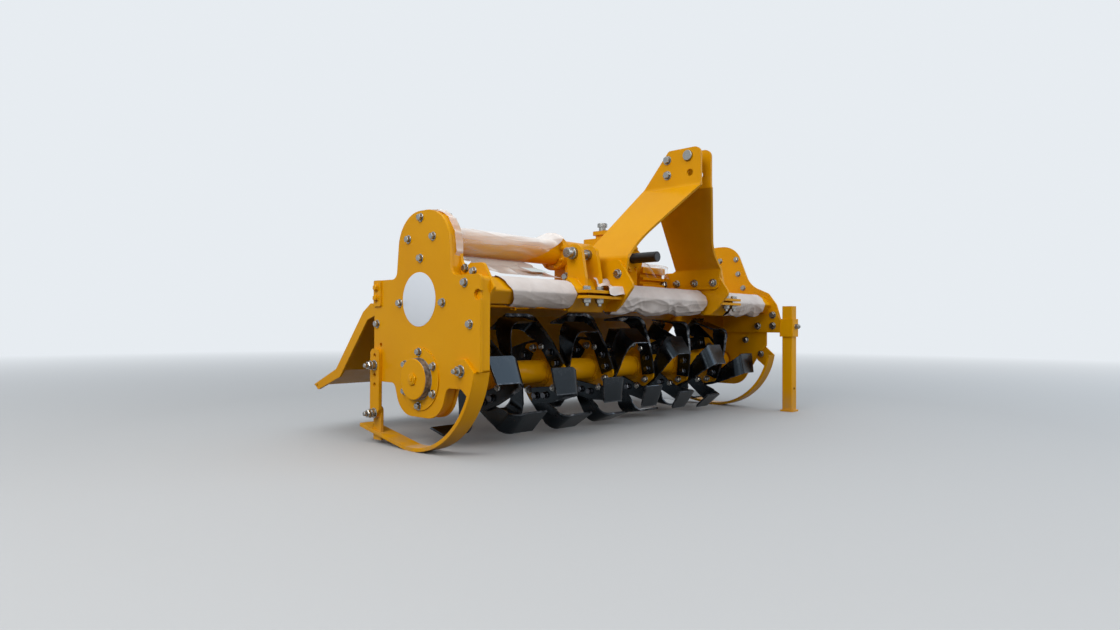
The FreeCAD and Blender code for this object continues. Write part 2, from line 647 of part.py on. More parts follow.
def gearbox():
    """Bevel gearbox with its near trunnion, lid, plugs, input shaft and the cradle under it."""
    box = new_body("Gearbox")
    slab(box, "XY", "box_low", "box_top", [
        ("-box_half", ahead("box_front"), "box_round"),
        ("box_half", ahead("box_front"), "box_round"),
        ("box_half", behind("box_rear"), "box_round"),
        ("-box_half", behind("box_rear"), "box_round"),
    ])
    turned(box, "X", ("axis_y", "drive_z"), [
        ("-barrel_end", "0"),
        ("-barrel_end", "box_flange_radius", "2"),
        ("-barrel_end + flange_wall", "box_flange_radius", "2"),
        ("-barrel_end + flange_wall * 2", "barrel_radius"),
        ("box_half - 1", "barrel_radius"),
        ("box_half - 1", "box_flange_radius"),
        ("box_half + blank_reach", "box_flange_radius", "4"),
        ("box_half + blank_reach", "0"),
    ])
    turned(box, "Y", ("0", "drive_z"), [
        (ahead("box_front - 1"), "0"),
        (ahead("box_front - 1"), "snout_radius + flange_wall"),
        (ahead("box_front + snout_reach / 2"), "snout_radius", "2"),
        (ahead("box_front + snout_reach"), "snout_radius", "2"),
        (ahead("box_front + snout_reach"), "0"),
    ])
    slab(box, "XZ", ahead("box_front + snout_reach"), ahead("box_front - shaft_depth + snout_reach"),
         rings=[("0", "drive_z", "shaft_radius + run_gap")], cut=True)
    node(box, "gearbox_housing")
    cradle = new_body("Cradle")
    slab(cradle, "XY", "hood_deck_z", "box_low", [
        ("-cradle_end", ahead("box_front"), "corner_round"),
        ("cradle_end", ahead("box_front"), "corner_round"),
        ("cradle_end", behind("box_rear"), "corner_round"),
        ("-cradle_end", behind("box_rear"), "corner_round"),
    ])
    for side, sign in SIDES:
        low, high = sided(sign, "box_half + blank_reach + corner_round", "cradle_end")
        front, rear = ahead("cradle_front"), behind("cradle_rear")
        slab(cradle, "YZ", low, high, [
            (front, "box_low - 1"),
            (rear, "box_low - 1"),
            (rear, "cradle_top", "corner_round / 2"),
            (front, "cradle_top", "corner_round / 2"),
        ])
        for count in (1, 2):
            foot = "box_low + cradle_rib * %d + cradle_groove * %d" % (count, count - 1)
            slab(cradle, "YZ", low, high, [
                (ahead("cradle_front + 1"), foot),
                (ahead("cradle_front - cradle_groove"), foot, "corner_round / 4"),
                (ahead("cradle_front - cradle_groove"), foot + " + cradle_groove", "corner_round / 4"),
                (ahead("cradle_front + 1"), foot + " + cradle_groove"),
            ], cut=True)
    slab(cradle, "YZ", "-cradle_end", "cradle_end",
         rings=[("axis_y", "drive_z", "barrel_radius + seat_gap")], cut=True)
    node(cradle, "gearbox_cradle")
    lid = new_body("GearboxLid")
    for low, high, inset in (("box_top", "lid_foot", "neck_inset"), ("lid_foot", "lid_top", "lid_inset")):
        slab(lid, "XY", low, high, [
            ("-box_half + " + inset, ahead("box_front - " + inset), "box_round / 2"),
            ("box_half - " + inset, ahead("box_front - " + inset), "box_round / 2"),
            ("box_half - " + inset, behind("box_rear - " + inset), "box_round / 2"),
            ("-box_half + " + inset, behind("box_rear - " + inset), "box_round / 2"),
        ])
    node(lid, "gearbox_lid")
    cap = new_body("FillerCap")
    turned(cap, "Z", ("filler_x", "axis_y"), [
        ("lid_top", "0"),
        ("lid_top", "filler_neck"),
        ("lid_top + filler_rise / 2", "filler_neck"),
        ("lid_top + filler_rise / 2", "filler_radius"),
        ("lid_top + filler_rise", "filler_radius", "3"),
        ("lid_top + filler_rise", "0"),
    ])
    node(cap, "filler_cap")
    breather = new_body("Breather")
    turned(breather, "Z", ("breather_x", "axis_y"), [
        ("drive_z + tube_radius", "0"),
        ("drive_z + tube_radius", "breather_radius"),
        ("drive_z + tube_radius + breather_rise / 3", "breather_radius"),
        ("drive_z + tube_radius + breather_rise / 2", "breather_head"),
        ("drive_z + tube_radius + breather_rise", "breather_head", "3"),
        ("drive_z + tube_radius + breather_rise", "0"),
    ])
    node(breather, "breather")
    shaft = new_body("InputShaft")
    turned(shaft, "Y", ("0", "drive_z"), [
        (ahead("shaft_reach"), "0"),
        (ahead("shaft_reach"), "shaft_radius", "2"),
        (ahead("box_front - shaft_depth + snout_reach + seat_gap"), "shaft_radius"),
        (ahead("box_front - shaft_depth + snout_reach + seat_gap"), "0"),
    ])
    node(shaft, "input_shaft")
    guard = new_body("InputCap")
    mouth = "box_front + snout_reach + seat_gap * 10"
    turned(guard, "Y", ("0", "drive_z"), [
        (ahead("cap_reach"), "0"),
        (ahead("cap_reach"), "cap_radius", "3"),
        (ahead(mouth), "cap_radius"),
        (ahead(mouth), "shaft_radius + seat_gap"),
        (ahead("shaft_reach + seat_gap"), "shaft_radius + seat_gap"),
        (ahead("shaft_reach + seat_gap"), "0"),
    ])
    node(guard, "input_cap")


def mast():
    """Two bent plates that meet at the top link pin and spread to their feet."""
    for side, sign in SIDES:
        flip = "-" if sign < 0 else ""
        strip = new_body(side.capitalize() + "MastStrip")
        line = [
            ("mast_outer - mast_wall", "mast_top + 1"),
            ("mast_outer", "mast_top + 1"),
            ("mast_outer", "mast_bend_z + mast_wall / 2", "mast_wall * 2"),
            ("mast_spread", "mast_knee_z + mast_wall / 2", "mast_wall * 2"),
            ("mast_spread", "mast_foot_z - 1"),
            ("mast_spread - mast_wall", "mast_foot_z - 1"),
            ("mast_spread - mast_wall", "mast_knee_z", "mast_wall"),
            ("mast_outer - mast_wall", "mast_bend_z", "mast_wall"),
        ]
        slab(strip, "XZ", ahead("mast_reach + 1"), ahead("mast_foot_rear - 1"),
             [(flip + "(%s)" % spot[0],) + spot[1:] for spot in line])
        face = new_body(side.capitalize() + "MastFace")
        low, high = sided(sign, "0", "mast_spread + 1")
        slab(face, "YZ", low, high, [
            (ahead("mast_head_rear"), "mast_top", "corner_round"),
            (ahead("mast_reach"), "mast_top", "corner_round * 2"),
            (ahead("mast_reach"), "mast_bend_z"),
            (ahead("mast_waist"), "mast_waist_z", "mast_waist_z / 4"),
            (ahead("mast_knee_front"), "mast_knee_z"),
            (ahead("mast_foot_front"), "mast_foot_z", "corner_round"),
            (ahead("mast_foot_rear"), "mast_foot_z", "corner_round"),
            (ahead("mast_foot_rear"), "mast_knee_z - mast_wall * 4", "corner_round"),
            (ahead("mast_knee_rear"), "mast_knee_z"),
            (ahead("mast_neck_rear"), "mast_bend_z"),
        ], [
            (ahead("pin_y"), "pin_z", "pin_radius + run_gap"),
            (ahead("spare_y"), "spare_z", "pin_radius + seat_gap"),
            (ahead("spacer_y"), "spacer_high", "spacer_bore"),
            (ahead("spacer_y"), "spacer_low", "spacer_bore"),
        ])
        plate = doc.addObject("Part::MultiCommon", side.capitalize() + "Mast")
        plate.Shapes = [strip, face]
        node(plate, "mast_plate_" + side)
    spacers = []
    for height in ("spacer_high", "spacer_low"):
        spacer = new_body("MastSpacer")
        slab(spacer, "YZ", "-(mast_outer - mast_wall)", "mast_outer - mast_wall",
             rings=[(ahead("spacer_y"), height, "spacer_radius"), (ahead("spacer_y"), height, "spacer_bore")])
        spacers.append(spacer)
    pack_together("mast_spacers", spacers)
    pin = new_body("TopPin")
    turned(pin, "X", (ahead("pin_y"), "pin_z"), [
        ("-(mast_outer + seat_gap + pin_head)", "0"),
        ("-(mast_outer + seat_gap + pin_head)", "pin_head_radius", "2"),
        ("-(mast_outer + seat_gap)", "pin_head_radius"),
        ("-(mast_outer + seat_gap)", "pin_radius"),
        ("mast_outer + pin_overhang", "pin_radius", "3"),
        ("mast_outer + pin_overhang", "0"),
    ])
    node(pin, "top_link_pin")


def lower_hitch():
    """Bracket plates at the mast's feet and, beside them, clamped ears for the lower links."""
    for side, sign in SIDES:
        bracket = new_body(side.capitalize() + "Bracket")
        low, high = sided(sign, "mast_spread", "mast_spread + bracket_wall")
        slab(bracket, "YZ", low, high, [
            (ahead("mast_foot_front - corner_round"), "bracket_top", "corner_round * 2"),
            (ahead("bracket_front"), "bracket_front_z + corner_round", "corner_round"),
            (ahead("bracket_front"), "bracket_front_z", "corner_round"),
            (ahead("bracket_toe"), "bracket_toe_z"),
            (ahead("bracket_toe - corner_round * 2"), "bracket_keel_z"),
            (ahead("beam_y + corner_round"), "bracket_keel_z"),
            (ahead("beam_y"), "beam_z - clamp_reach"),
            (ahead("beam_y + clamp_reach"), "beam_z"),
            (ahead("beam_y"), "beam_z + clamp_reach"),
            (ahead("beam_y - corner_round"), "hood_deck_z + seat_gap"),
            (ahead("bracket_rear"), "hood_deck_z + seat_gap"),
            (ahead("bracket_rear"), "bracket_top", "corner_round"),
        ])
        node(bracket, "hitch_bracket_" + side)
        saddle(side, sign)
        ears = []
        for place in ("0", "ear_pitch"):
            ear = new_body(side.capitalize() + "Ear")
            low, high = sided(sign, "ear_inner + " + place, "ear_inner + ear_wall + " + place)
            slab(ear, "YZ", low, high, [
                (ahead("beam_y + ear_half"), "clamp_crest - ear_half"),
                (ahead("beam_y + ear_half"), "clamp_crest"),
                (ahead("beam_y - corner_round + ear_round"), "ear_z + ear_round", "ear_round - 1"),
                (ahead("beam_y - corner_round - ear_round"), "ear_z + ear_round", "ear_round - 1"),
                (ahead("beam_y - ear_half"), "clamp_crest"),
                (ahead("beam_y - ear_half"), "clamp_crest - ear_half"),
                (ahead("beam_y"), "clamp_crest"),
            ], [("ear_y", "ear_z", "link_pin_radius + run_gap")])
            ears.append(ear)
        pack_together("hitch_ears_" + side, ears)
        pin = new_body(side.capitalize() + "LinkPin")
        profile = [
            ("ear_inner - link_pin_head", "0"),
            ("ear_inner - link_pin_head", "link_pin_radius", "2"),
            ("ear_inner + ear_wall + seat_gap", "link_pin_radius"),
            ("ear_inner + ear_wall + seat_gap", "link_pin_collar"),
            ("ear_inner + ear_wall + seat_gap + link_pin_head", "link_pin_collar"),
            ("ear_inner + ear_wall + seat_gap + link_pin_head", "link_pin_radius"),
            ("pin_seat", "link_pin_radius"),
            ("pin_seat", "link_pin_head_radius"),
            ("pin_seat + link_pin_head", "link_pin_head_radius", "2"),
            ("pin_seat + link_pin_head", "link_pin_cap_radius"),
            ("pin_seat + link_pin_head + link_pin_cap", "link_pin_cap_radius", "3"),
            ("pin_seat + link_pin_head + link_pin_cap", "0"),
        ]
        flip = "-" if sign < 0 else ""
        turned(pin, "X", ("ear_y", "ear_z"), [(flip + "(%s)" % spot[0],) + spot[1:] for spot in profile])
        node(pin, "lower_link_pin_" + side)


def saddle(side, sign):
    """The pair of angle clamps that grips the beam, upper one with gussets, lower one under it."""
    low, high = sided(sign, "saddle_inner", "saddle_outer")
    reach = "clamp_reach"
    skin = "saddle_wall * sqrt(2)"
    for name, up in (("upper", 1), ("lower", -1)):
        rise = "+" if up > 0 else "-"
        lip = ("beam_z %s lip_gap / 2" % rise, "beam_z %s (lip_gap / 2 + saddle_wall)" % rise)
        clamp = new_body(side.capitalize() + name.capitalize() + "Clamp")
        slab(clamp, "YZ", low, high, [
            (ahead("beam_y + %s + saddle_lip" % reach), lip[0]),
            (ahead("beam_y + %s + saddle_lip" % reach), lip[1]),
            (ahead("beam_y + %s + %s - lip_gap / 2 - saddle_wall" % (reach, skin)), lip[1]),
            (ahead("beam_y"), "beam_z %s (%s + %s)" % (rise, reach, skin)),
            (ahead("beam_y - (%s) - %s + lip_gap / 2" % (reach, skin)), lip[0]),
            (ahead("beam_y - (%s) + lip_gap / 2" % reach), lip[0]),
            (ahead("beam_y"), "beam_z %s (%s)" % (rise, reach)),
            (ahead("beam_y + %s - lip_gap / 2" % reach), lip[0]),
        ])
        node(clamp, "beam_clamp_%s_%s" % (name, side))


def skids():
    """Bowed skid shoes under both ends, with front ear, rear lug and holed link."""
    for side, sign in SIDES:
        face = "half_width" if sign < 0 else "frame_outer"
        outer = face + " + skid_ear_wall"
        skid = new_body(side.capitalize() + "Skid")
        low, high = sided(sign, outer + " - skid_wide", outer)
        slab(skid, "YZ", low, high, [
            (ahead("skid_front"), "skid_top"),
            (ahead("skid_toe"), "0", "skid_round"),
            (behind("skid_flat"), "0"),
            (behind("skid_rear"), "skid_lift"),
            (behind("skid_rear"), "skid_lift + skid_wall"),
            (behind("skid_flat"), "skid_wall"),
            (ahead("skid_toe - skid_wall + skid_wall * (skid_front - skid_toe) / skid_top"), "skid_wall",
             "skid_round - skid_wall"),
            (ahead("skid_front - skid_wall"), "skid_top"),
        ])
        low, high = sided(sign, face, outer)
        slab(skid, "YZ", low, high, [
            (ahead("skid_bolt_y - corner_round * 2"), "skid_bolt_z - corner_round * 2", "corner_round"),
            (ahead("skid_bolt_y - corner_round * 2"), "skid_bolt_z + corner_round * 2", "corner_round"),
            (ahead("skid_bolt_y + corner_round"), "skid_bolt_z + corner_round * 2.6", "corner_round"),
            (ahead("skid_front"), "skid_top"),
            (ahead("skid_front - corner_round * 1.4"), "skid_top - corner_round * 4"),
            (ahead("skid_front - corner_round * 2"), "skid_top - corner_round * 5"),
        ])
        low, high = sided(sign, face + " - skid_ear_wall", face)
        slab(skid, "YZ", low, high, [
            (behind("link_y - lug_half"), "skid_wall"),
            (behind("link_y - lug_half"), "link_low + lug_half", "corner_round"),
            (behind("link_y + lug_half"), "link_low + lug_half", "corner_round"),
            (behind("link_y + lug_half"), "skid_wall"),
        ])
        node(skid, "skid_" + side)
        link = new_body(side.capitalize() + "SkidLink")
        low, high = sided(sign, face, face + " + link_wall")
        slab(link, "YZ", low, high, [
            (behind("link_y - link_half / 3"), "link_low - link_foot"),
            (behind("link_y + link_half"), "link_low - link_foot", "link_foot"),
            (behind("link_y + link_half"), "link_top", "link_round"),
            (behind("link_y - link_half"), "link_top", "link_round"),
            (behind("link_y - link_half"), "link_low + link_foot"),
        ], [(behind("link_y"), height, "link_hole_radius") for height in (
            "link_low",
            "link_high",
            "link_high + link_pitch",
            "link_high - link_pitch",
            "link_high - link_pitch * 2",
        )])
        node(link, "skid_link_" + side)


def box_outline(x, y, half, rounding):
    """A square about a vertical axis."""
    return [
        ("%s - (%s)" % (x, half), "%s - (%s)" % (y, half), rounding),
        ("%s + (%s)" % (x, half), "%s - (%s)" % (y, half), rounding),
        ("%s + (%s)" % (x, half), "%s + (%s)" % (y, half), rounding),
        ("%s - (%s)" % (x, half), "%s + (%s)" % (y, half), rounding),
    ]


def stand():
    """Square leg that slides in a collar at the far front corner."""
    y = ahead("stand_y")
    bore = "leg_side / 2 + collar_gap"
    holder = new_body("StandHolder")
    slab(holder, "XY", "collar_low", "collar_high", box_outline("stand_x", y, bore + " + collar_wall", "4"),
         loops=[box_outline("stand_x", y, bore, "3")])
    slab(holder, "YZ", "frame_inner - arm_wall", "frame_inner", [
        (ahead("stand_y - %s - 1" % bore), "arm_low"),
        (ahead("arm_rear"), "arm_low"),
        (ahead("arm_rear"), "arm_top"),
        (ahead("beam_y + leg_side / 2"), "arm_top"),
        (ahead("beam_y + leg_side"), "arm_peak"),
        (ahead("far_nose_y - corner_round"), "arm_peak", "corner_round / 2"),
        (ahead("far_nose_y"), "collar_high"),
        (ahead("stand_y - %s - 1" % bore), "collar_high"),
    ])
    node(holder, "stand_collar")
    leg = new_body("StandLeg")
    slab(leg, "XY", "0", "leg_top", box_outline("stand_x", y, "leg_side / 2", "4"),
         loops=[box_outline("stand_x", y, "leg_side / 2 - leg_wall", "2")])
    slab(leg, "XY", "0", "sole_wall", box_outline("stand_x", y, "sole_side / 2", "4"))
    slab(leg, "XZ", ahead("stand_y + leg_side"), ahead("stand_y - leg_side"),
         rings=[("stand_x", "leg_hole_z", "leg_hole_radius")], cut=True)
    node(leg, "stand_leg")


def tail_board():
    """Creased sheet with hinge knuckles along its top, closed at both ends by deep rims."""
    board = new_body("TailBoard")
    top_y = "hinge_y + hinge_rod + knuckle_wall * 2"
    top_z = "hinge_z - knuckle_wall / 2"
    slab(board, "YZ", "-board_half", "board_half", [
        (behind(top_y), top_z),
        (behind("board_brow_y"), "board_brow_z"),
        (behind("board_knee_y"), "board_knee_z"),
        (behind("tail_reach"), "board_tip_z"),
        (behind("tail_reach"), "board_tip_z - board_wall"),
        (behind("board_knee_y - board_wall / 2"), "board_knee_z - board_wall"),
        (behind("board_brow_y - board_wall / 2"), "board_brow_z - board_wall"),
        (behind(top_y), top_z + " - board_wall"),
    ])
    for place in KNUCKLES:
        low = "%g * knuckle_pitch - knuckle_long / 2" % place
        high = "%g * knuckle_pitch + knuckle_long / 2" % place
        slab(board, "YZ", low, high, [
            (behind("hinge_y"), "hinge_z + hinge_rod + knuckle_wall", "hinge_rod"),
            (behind("hinge_y - hinge_rod - knuckle_wall"), "hinge_z + hinge_rod + knuckle_wall", "hinge_rod"),
            (behind("hinge_y - hinge_rod - knuckle_wall"), "hinge_z - hinge_rod - knuckle_wall", "hinge_rod"),
            (behind("hinge_y"), "hinge_z - hinge_rod - knuckle_wall", "hinge_rod"),
            (behind(top_y + " + board_wall"), top_z + " - board_wall"),
            (behind(top_y + " + board_wall"), top_z),
        ], [(behind("hinge_y"), "hinge_z", "hinge_rod + run_gap")])
    fold = "rim_depth / sqrt(2)"
    for side, sign in SIDES:
        low, high = sided(sign, "board_half - rim_wall", "board_half")
        slab(board, "YZ", low, high, [
            (behind("hinge_y - knuckle_wall"), "hinge_z - knuckle_wall"),
            (behind(top_y), top_z),
            (behind("board_brow_y"), "board_brow_z"),
            (behind("board_knee_y"), "board_knee_z"),
            (behind("tail_reach"), "board_tip_z", "rim_wall / 2"),
            (behind("tail_reach - " + fold), "board_tip_z - rim_depth / 2", "rim_wall"),
            (behind("board_knee_y - " + fold), "board_knee_z - " + fold),
            (behind("board_brow_y - " + fold), "board_brow_z - " + fold),
            (behind("hinge_y - knuckle_wall"), "hinge_z - knuckle_wall - rim_depth"),
        ], [(behind("tail_reach - rim_depth / 2"), "board_tip_z - rim_hole", "rim_hole")])
    node(board, "tail_board")


# Hinge knuckles' places across, in knuckle pitches; the rod's lugs stand between them.
KNUCKLES = (-1.5, -0.5, 0.5, 1.5)
LUGS = (-1, 0, 1)


def hinge():
    """Hinge rod along the hood's rear edge, on lugs that stand on the hood and the end plates."""
    rod = new_body("HingeRod")
    slab(rod, "YZ", "-frame_inner", "frame_inner", rings=[(behind("hinge_y"), "hinge_z", "hinge_rod")])
    slope = "(hood_deck_z - hood_rear_z) / (hood_rear - hood_deck_y)"
    spans = [("%g * knuckle_pitch - lug_wall / 2" % place, "%g * knuckle_pitch + lug_wall / 2" % place)
             for place in LUGS]
    for low, high in spans:
        slab(rod, "YZ", low, high, [
            (behind("hood_rear"), "hood_rear_z"),
            (behind("hood_rear - lug_wall * 4"), "hood_rear_z + lug_wall * 4 * " + slope),
            (behind("hinge_y - hinge_rod"), "hinge_z + hinge_rod * 2"),
            (behind("hinge_y + hinge_rod"), "hinge_z + hinge_rod", "hinge_rod / 2"),
            (behind("hinge_y + hinge_rod"), "hinge_z - hinge_rod * 1.2", "hinge_rod / 2"),
            (behind("hinge_y - hinge_rod * 2"), "hinge_z - hinge_rod"),
        ])
    for side, sign in SIDES:
        low, high = sided(sign, "frame_inner - lug_wall", "frame_inner")
        slab(rod, "YZ", low, high, [
            (behind("hood_rear + seat_gap"), "hinge_z + lug_wall * 5"),
            (behind("rear_edge - 1"), "hinge_z + lug_wall * 5", "corner_round / 2"),
            (behind("hinge_y + hinge_rod"), "hinge_z + hinge_rod", "hinge_rod / 2"),
            (behind("hinge_y + hinge_rod"), "hinge_z - hinge_rod * 1.2", "hinge_rod / 2"),
            (behind("hood_rear + seat_gap"), "hinge_z - hinge_rod * 1.2"),
        ])
    node(rod, "tail_hinge_rod")


# Stretches of beam that are wrapped in foam, from and to across the machine.
FOAM = (
    ("-(frame_inner - foam_end)", "-(saddle_outer + foam_wall)"),
    ("-(mast_spread - mast_wall - foam_wall)", "mast_spread - mast_wall - foam_wall"),
    ("saddle_outer + foam_wall", "frame_inner - foam_end"),
)


def packing():
    """Foam sleeves on the beam and a film sleeve on the drive tube, as they left the factory."""
    sleeves = []
    for low, high in FOAM:
        sleeve = new_body("FoamSleeve")
        slab(sleeve, "YZ", low, high,
             diamond("beam_side + 2 * (beam_fit + foam_wall)", "beam_round + foam_wall"),
             loops=[diamond("beam_side + 2 * beam_fit", "beam_round")])
        sleeves.append(sleeve)
    pack_together("beam_foam", sleeves)
    film = new_body("FilmSleeve")
    inner = "tube_radius + seat_gap"
    flared = "box_flange_radius + seat_gap"
    start, bend = "-frame_inner + film_end", "-barrel_end - flange_wall * 4"
    stop = "-barrel_end + flange_wall"
    turned(film, "X", ("axis_y", "drive_z"), [
        (start, inner),
        (start, inner + " + film_wall"),
        (bend, inner + " + film_wall"),
        ("-barrel_end - flange_wall * 2", flared + " + film_wall"),
        (stop, flared + " + film_wall"),
        (stop, flared),
        ("-barrel_end - flange_wall * 2", flared),
        (bend, inner),
    ])
    node(film, "tube_film")


def blade():
    """One right-hand blade: flat bar on its flange, drifting shank, quarter bend and level wing.

    Each section is a four-cornered slice across the blade's path, given by its place along the
    bar, its shift square to the bar, its place beside the flange, width, bevel and the turn of
    the path, in degrees, from along the bar to across the machine.
    """
    half = size("blade_wall") / 2
    seat = -size("blade_seat")
    aside = size("blade_aside")
    bend = size("wing_bend")
    wide = size("wing_wide")
    narrow = size("neck_wide")
    bevel = size("wing_bevel")
    fold = size("wing_place") - bend
    drift = size("neck_drift")
    reach = size("wing_reach")
    sections = [
        (-size("bar_half"), 0, aside, size("bar_wide"), bevel / 8, 0),
        (size("bar_half"), 0, aside, size("bar_wide"), bevel / 8, 0),
        (size("shank_reach"), size("shank_drift"), aside, size("bar_wide"), bevel / 2, 0),
        (size("neck_reach"), drift, aside, narrow, bevel, 0),
    ]
    for turn in (15, 37.5, 60, 90):
        lean = math.radians(turn)
        share = turn / 90
        sections.append((
            fold + bend * math.sin(lean),
            drift + (size("wing_drift") - drift) * share,
            aside + bend * (1 - math.cos(lean)),
            narrow + (wide - narrow) * share,
            bevel,
            turn,
        ))
    sections.append((size("wing_place"), size("wing_drift"), reach, wide, bevel, 90))
    turned_by = Rotation(Vector(1, 0, 0), 90 - size("blade_lead"))
    wires = []
    for along, shift, beside, width, ground, turn in sections:
        lean = math.radians(turn)
        corners = []
        for edge, skin in ((-1, -1), (1, -1), (1, 1), (-1, 1)):
            across = seat + shift + edge * width / 2
            if edge < 0 < skin:
                across += ground
            lateral = beside + skin * half * math.cos(lean)
            corners.append(turned_by.multVec(Vector(lateral, across, along - skin * half * math.sin(lean))))
        wires.append(Part.makePolygon(corners + corners[:1]))
    bar = Part.makeLoft(wires, True, True)
    if bar.Volume < 0:
        bar.reverse()
    middle = seat + size("wing_drift")
    slope = size("wing_skew") / wide
    corners = []
    for edge, lateral in ((-1, reach - slope * wide * 1.5), (1, reach + slope * wide / 2), (0, reach + wide)):
        corners.append(turned_by.multVec(Vector(lateral, middle + edge * wide, fold)))
    depth = turned_by.multVec(Vector(0, 0, 2 * bend))
    end = Part.Face(Part.makePolygon(corners + corners[:1])).extrude(depth)
    return bar.cut(end).Solids[0]


FLANGE_COUNT = 6
# Flanges' places across, in blade pitches from the middle.
FLANGES = [place - (FLANGE_COUNT - 1) / 2 for place in range(FLANGE_COUNT)]


def rotor():
    """Tube with journals, six flanges and their blades, three of each hand on a flange."""
    tube = new_body("RotorTube")
    turned(tube, "X", ("axis_y", "rotor_z"), [
        ("-case_outer", "0"),
        ("-case_outer", "journal_radius"),
        ("-frame_inner + rotor_clear", "journal_radius"),
        ("-frame_inner + rotor_clear", "rotor_radius"),
        ("frame_inner - rotor_clear", "rotor_radius"),
        ("frame_inner - rotor_clear", "journal_radius"),
        ("half_width - seat_gap", "journal_radius"),
        ("half_width - seat_gap", "0"),
    ])
    node(tube, "rotor_tube")
    flanges = []
    for count, place in enumerate(FLANGES):
        flange = new_body("BladeFlange")
        middle = "%g * blade_pitch" % place
        corners = []
        for sixth in range(6):
            angle = "first_wing + blade_lead - helix_step * %d + 60 * %d" % (count, sixth)
            corners.append((ahead("flange_corner * cos(%s)" % angle),
                            "rotor_z + flange_corner * sin(%s)" % angle, "flange_round"))
        slab(flange, "YZ", middle + " - blade_flange_wall / 2", middle + " + blade_flange_wall / 2", corners,
             [("axis_y", "rotor_z", "rotor_radius")])
        deep = "(blade_flange_wall / 2 + collar_side)"
        slab(flange, "YZ", middle + " - " + deep, middle + " + " + deep,
             rings=[("axis_y", "rotor_z", "flange_collar"), ("axis_y", "rotor_z", "rotor_radius")])
        flanges.append(flange)
    pack_together("blade_flanges", flanges)
    centre = Vector(0, size("axis_y"), size("rotor_z"))
    right = blade()
    left = right.mirror(Vector(0, 0, 0), Vector(1, 0, 0))
    for label, shape, turn in (("blades_left", left, 0), ("blades_right", right, 60)):
        copies = []
        for count, place in enumerate(FLANGES):
            middle = centre + Vector(size("%g * blade_pitch" % place), 0, 0)
            angle = size("first_wing - %d * helix_step" % count) + turn
            for third in (0, 120, 240):
                spin = Rotation(Vector(1, 0, 0), -angle - third)
                copies.append(shape.transformed(Placement(middle, spin).toMatrix()))
        feature = doc.addObject("Part::Feature", label)
        feature.Shape = Part.makeCompound(copies)
        node(feature, label)


near_end()
far_end()
frame_beams()
drive_tube()
gearbox()
mast()
lower_hitch()
skids()
stand()
tail_board()
hinge()
rotor()
packing()

doc.recompute()
for thing in doc.Objects:
    if {"Invalid", "Error"} & set(thing.State):
        raise SystemExit("failed: %s %s" % (thing.Label, thing.State))
for thing in NODES:
    shape = thing.Shape
    if shape.isNull() or not shape.isValid() or shape.Volume <= 0:
        raise SystemExit("bad shape: " + thing.Label)
    shape.exportStep("parts/%s.step" % thing.Label)
print(len(NODES), "nodes")
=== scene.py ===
import json
import math

import bpy
import numpy as np
from mathutils import Matrix, Vector


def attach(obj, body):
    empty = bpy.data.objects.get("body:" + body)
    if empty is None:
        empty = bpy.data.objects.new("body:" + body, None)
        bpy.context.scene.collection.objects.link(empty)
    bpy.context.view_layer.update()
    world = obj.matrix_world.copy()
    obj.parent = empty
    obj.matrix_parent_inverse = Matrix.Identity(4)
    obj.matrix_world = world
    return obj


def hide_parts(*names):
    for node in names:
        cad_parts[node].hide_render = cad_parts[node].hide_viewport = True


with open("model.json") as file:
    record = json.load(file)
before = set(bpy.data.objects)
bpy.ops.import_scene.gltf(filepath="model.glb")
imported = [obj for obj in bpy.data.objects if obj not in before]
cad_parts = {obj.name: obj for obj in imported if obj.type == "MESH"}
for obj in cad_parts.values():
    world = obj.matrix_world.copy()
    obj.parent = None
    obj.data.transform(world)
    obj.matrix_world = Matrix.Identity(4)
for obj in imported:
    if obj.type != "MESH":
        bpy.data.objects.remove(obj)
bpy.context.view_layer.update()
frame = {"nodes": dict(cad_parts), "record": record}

# Camera: the photograph's place and angles, worked out from its perspective.
EYE = (-2.2392, -1.8854, 0.3915)
HEADING = 0.827
UPWARD = 0.015
ROLL = 0.005
FOCAL_PIXELS = 698.1
PHOTO_WIDTH = 1120
SENSOR = 36.0

# Places that several pieces share, in metres. Y of a place is the axis minus what lies ahead of it.
AXIS_Y = -0.1115
ROTOR_Z = 0.225
DRIVE_Z = 0.660
BEAM_AHEAD = 0.217
BEAM_Z = 0.495
COVER_X = -0.948
PLATE_X = 0.898
PLATE_OUTSIDE = 0.908
SKID_FACE = {-1: -0.958, 1: 0.918}
LINK_AHEAD = -0.231
FLANGES = 6
FLANGE_PITCH = 0.274
LEFT, RIGHT, FRONT, UP, DOWN = (-1, 0, 0), (1, 0, 0), (0, -1, 0), (0, 0, 1), (0, 0, -1)
BACKDROP = (0.80, 0.84, 0.88)
# Weld beads: distance between sections, and the depth (of the radius) and length of the ripple.
BEAD_STEP, RIPPLE, RIPPLE_LENGTH = 0.0022, 0.16, 0.0060
CHANCE = np.random.default_rng(7)


def make_camera():
    """A camera turned from the +Y axis towards +X by its heading, tilted up and rolled a little."""
    level = math.cos(UPWARD)
    forward = Vector((math.sin(HEADING) * level, math.cos(HEADING) * level, math.sin(UPWARD)))
    right = Vector((math.cos(HEADING), -math.sin(HEADING), 0))
    top = right.cross(forward)
    across = math.cos(ROLL) * right + math.sin(ROLL) * top
    upright = math.cos(ROLL) * top - math.sin(ROLL) * right
    data = bpy.data.cameras.new("camera")
    data.sensor_width = SENSOR
    data.lens = FOCAL_PIXELS * SENSOR / PHOTO_WIDTH
    data.clip_start = 0.05
    camera = bpy.data.objects.new("camera", data)
    turn = Matrix((across, upright, -forward)).transposed().to_4x4()
    camera.matrix_world = Matrix.Translation(EYE) @ turn
    bpy.context.collection.objects.link(camera)
    bpy.context.scene.camera = camera


make_camera()


# ---- Materials ----

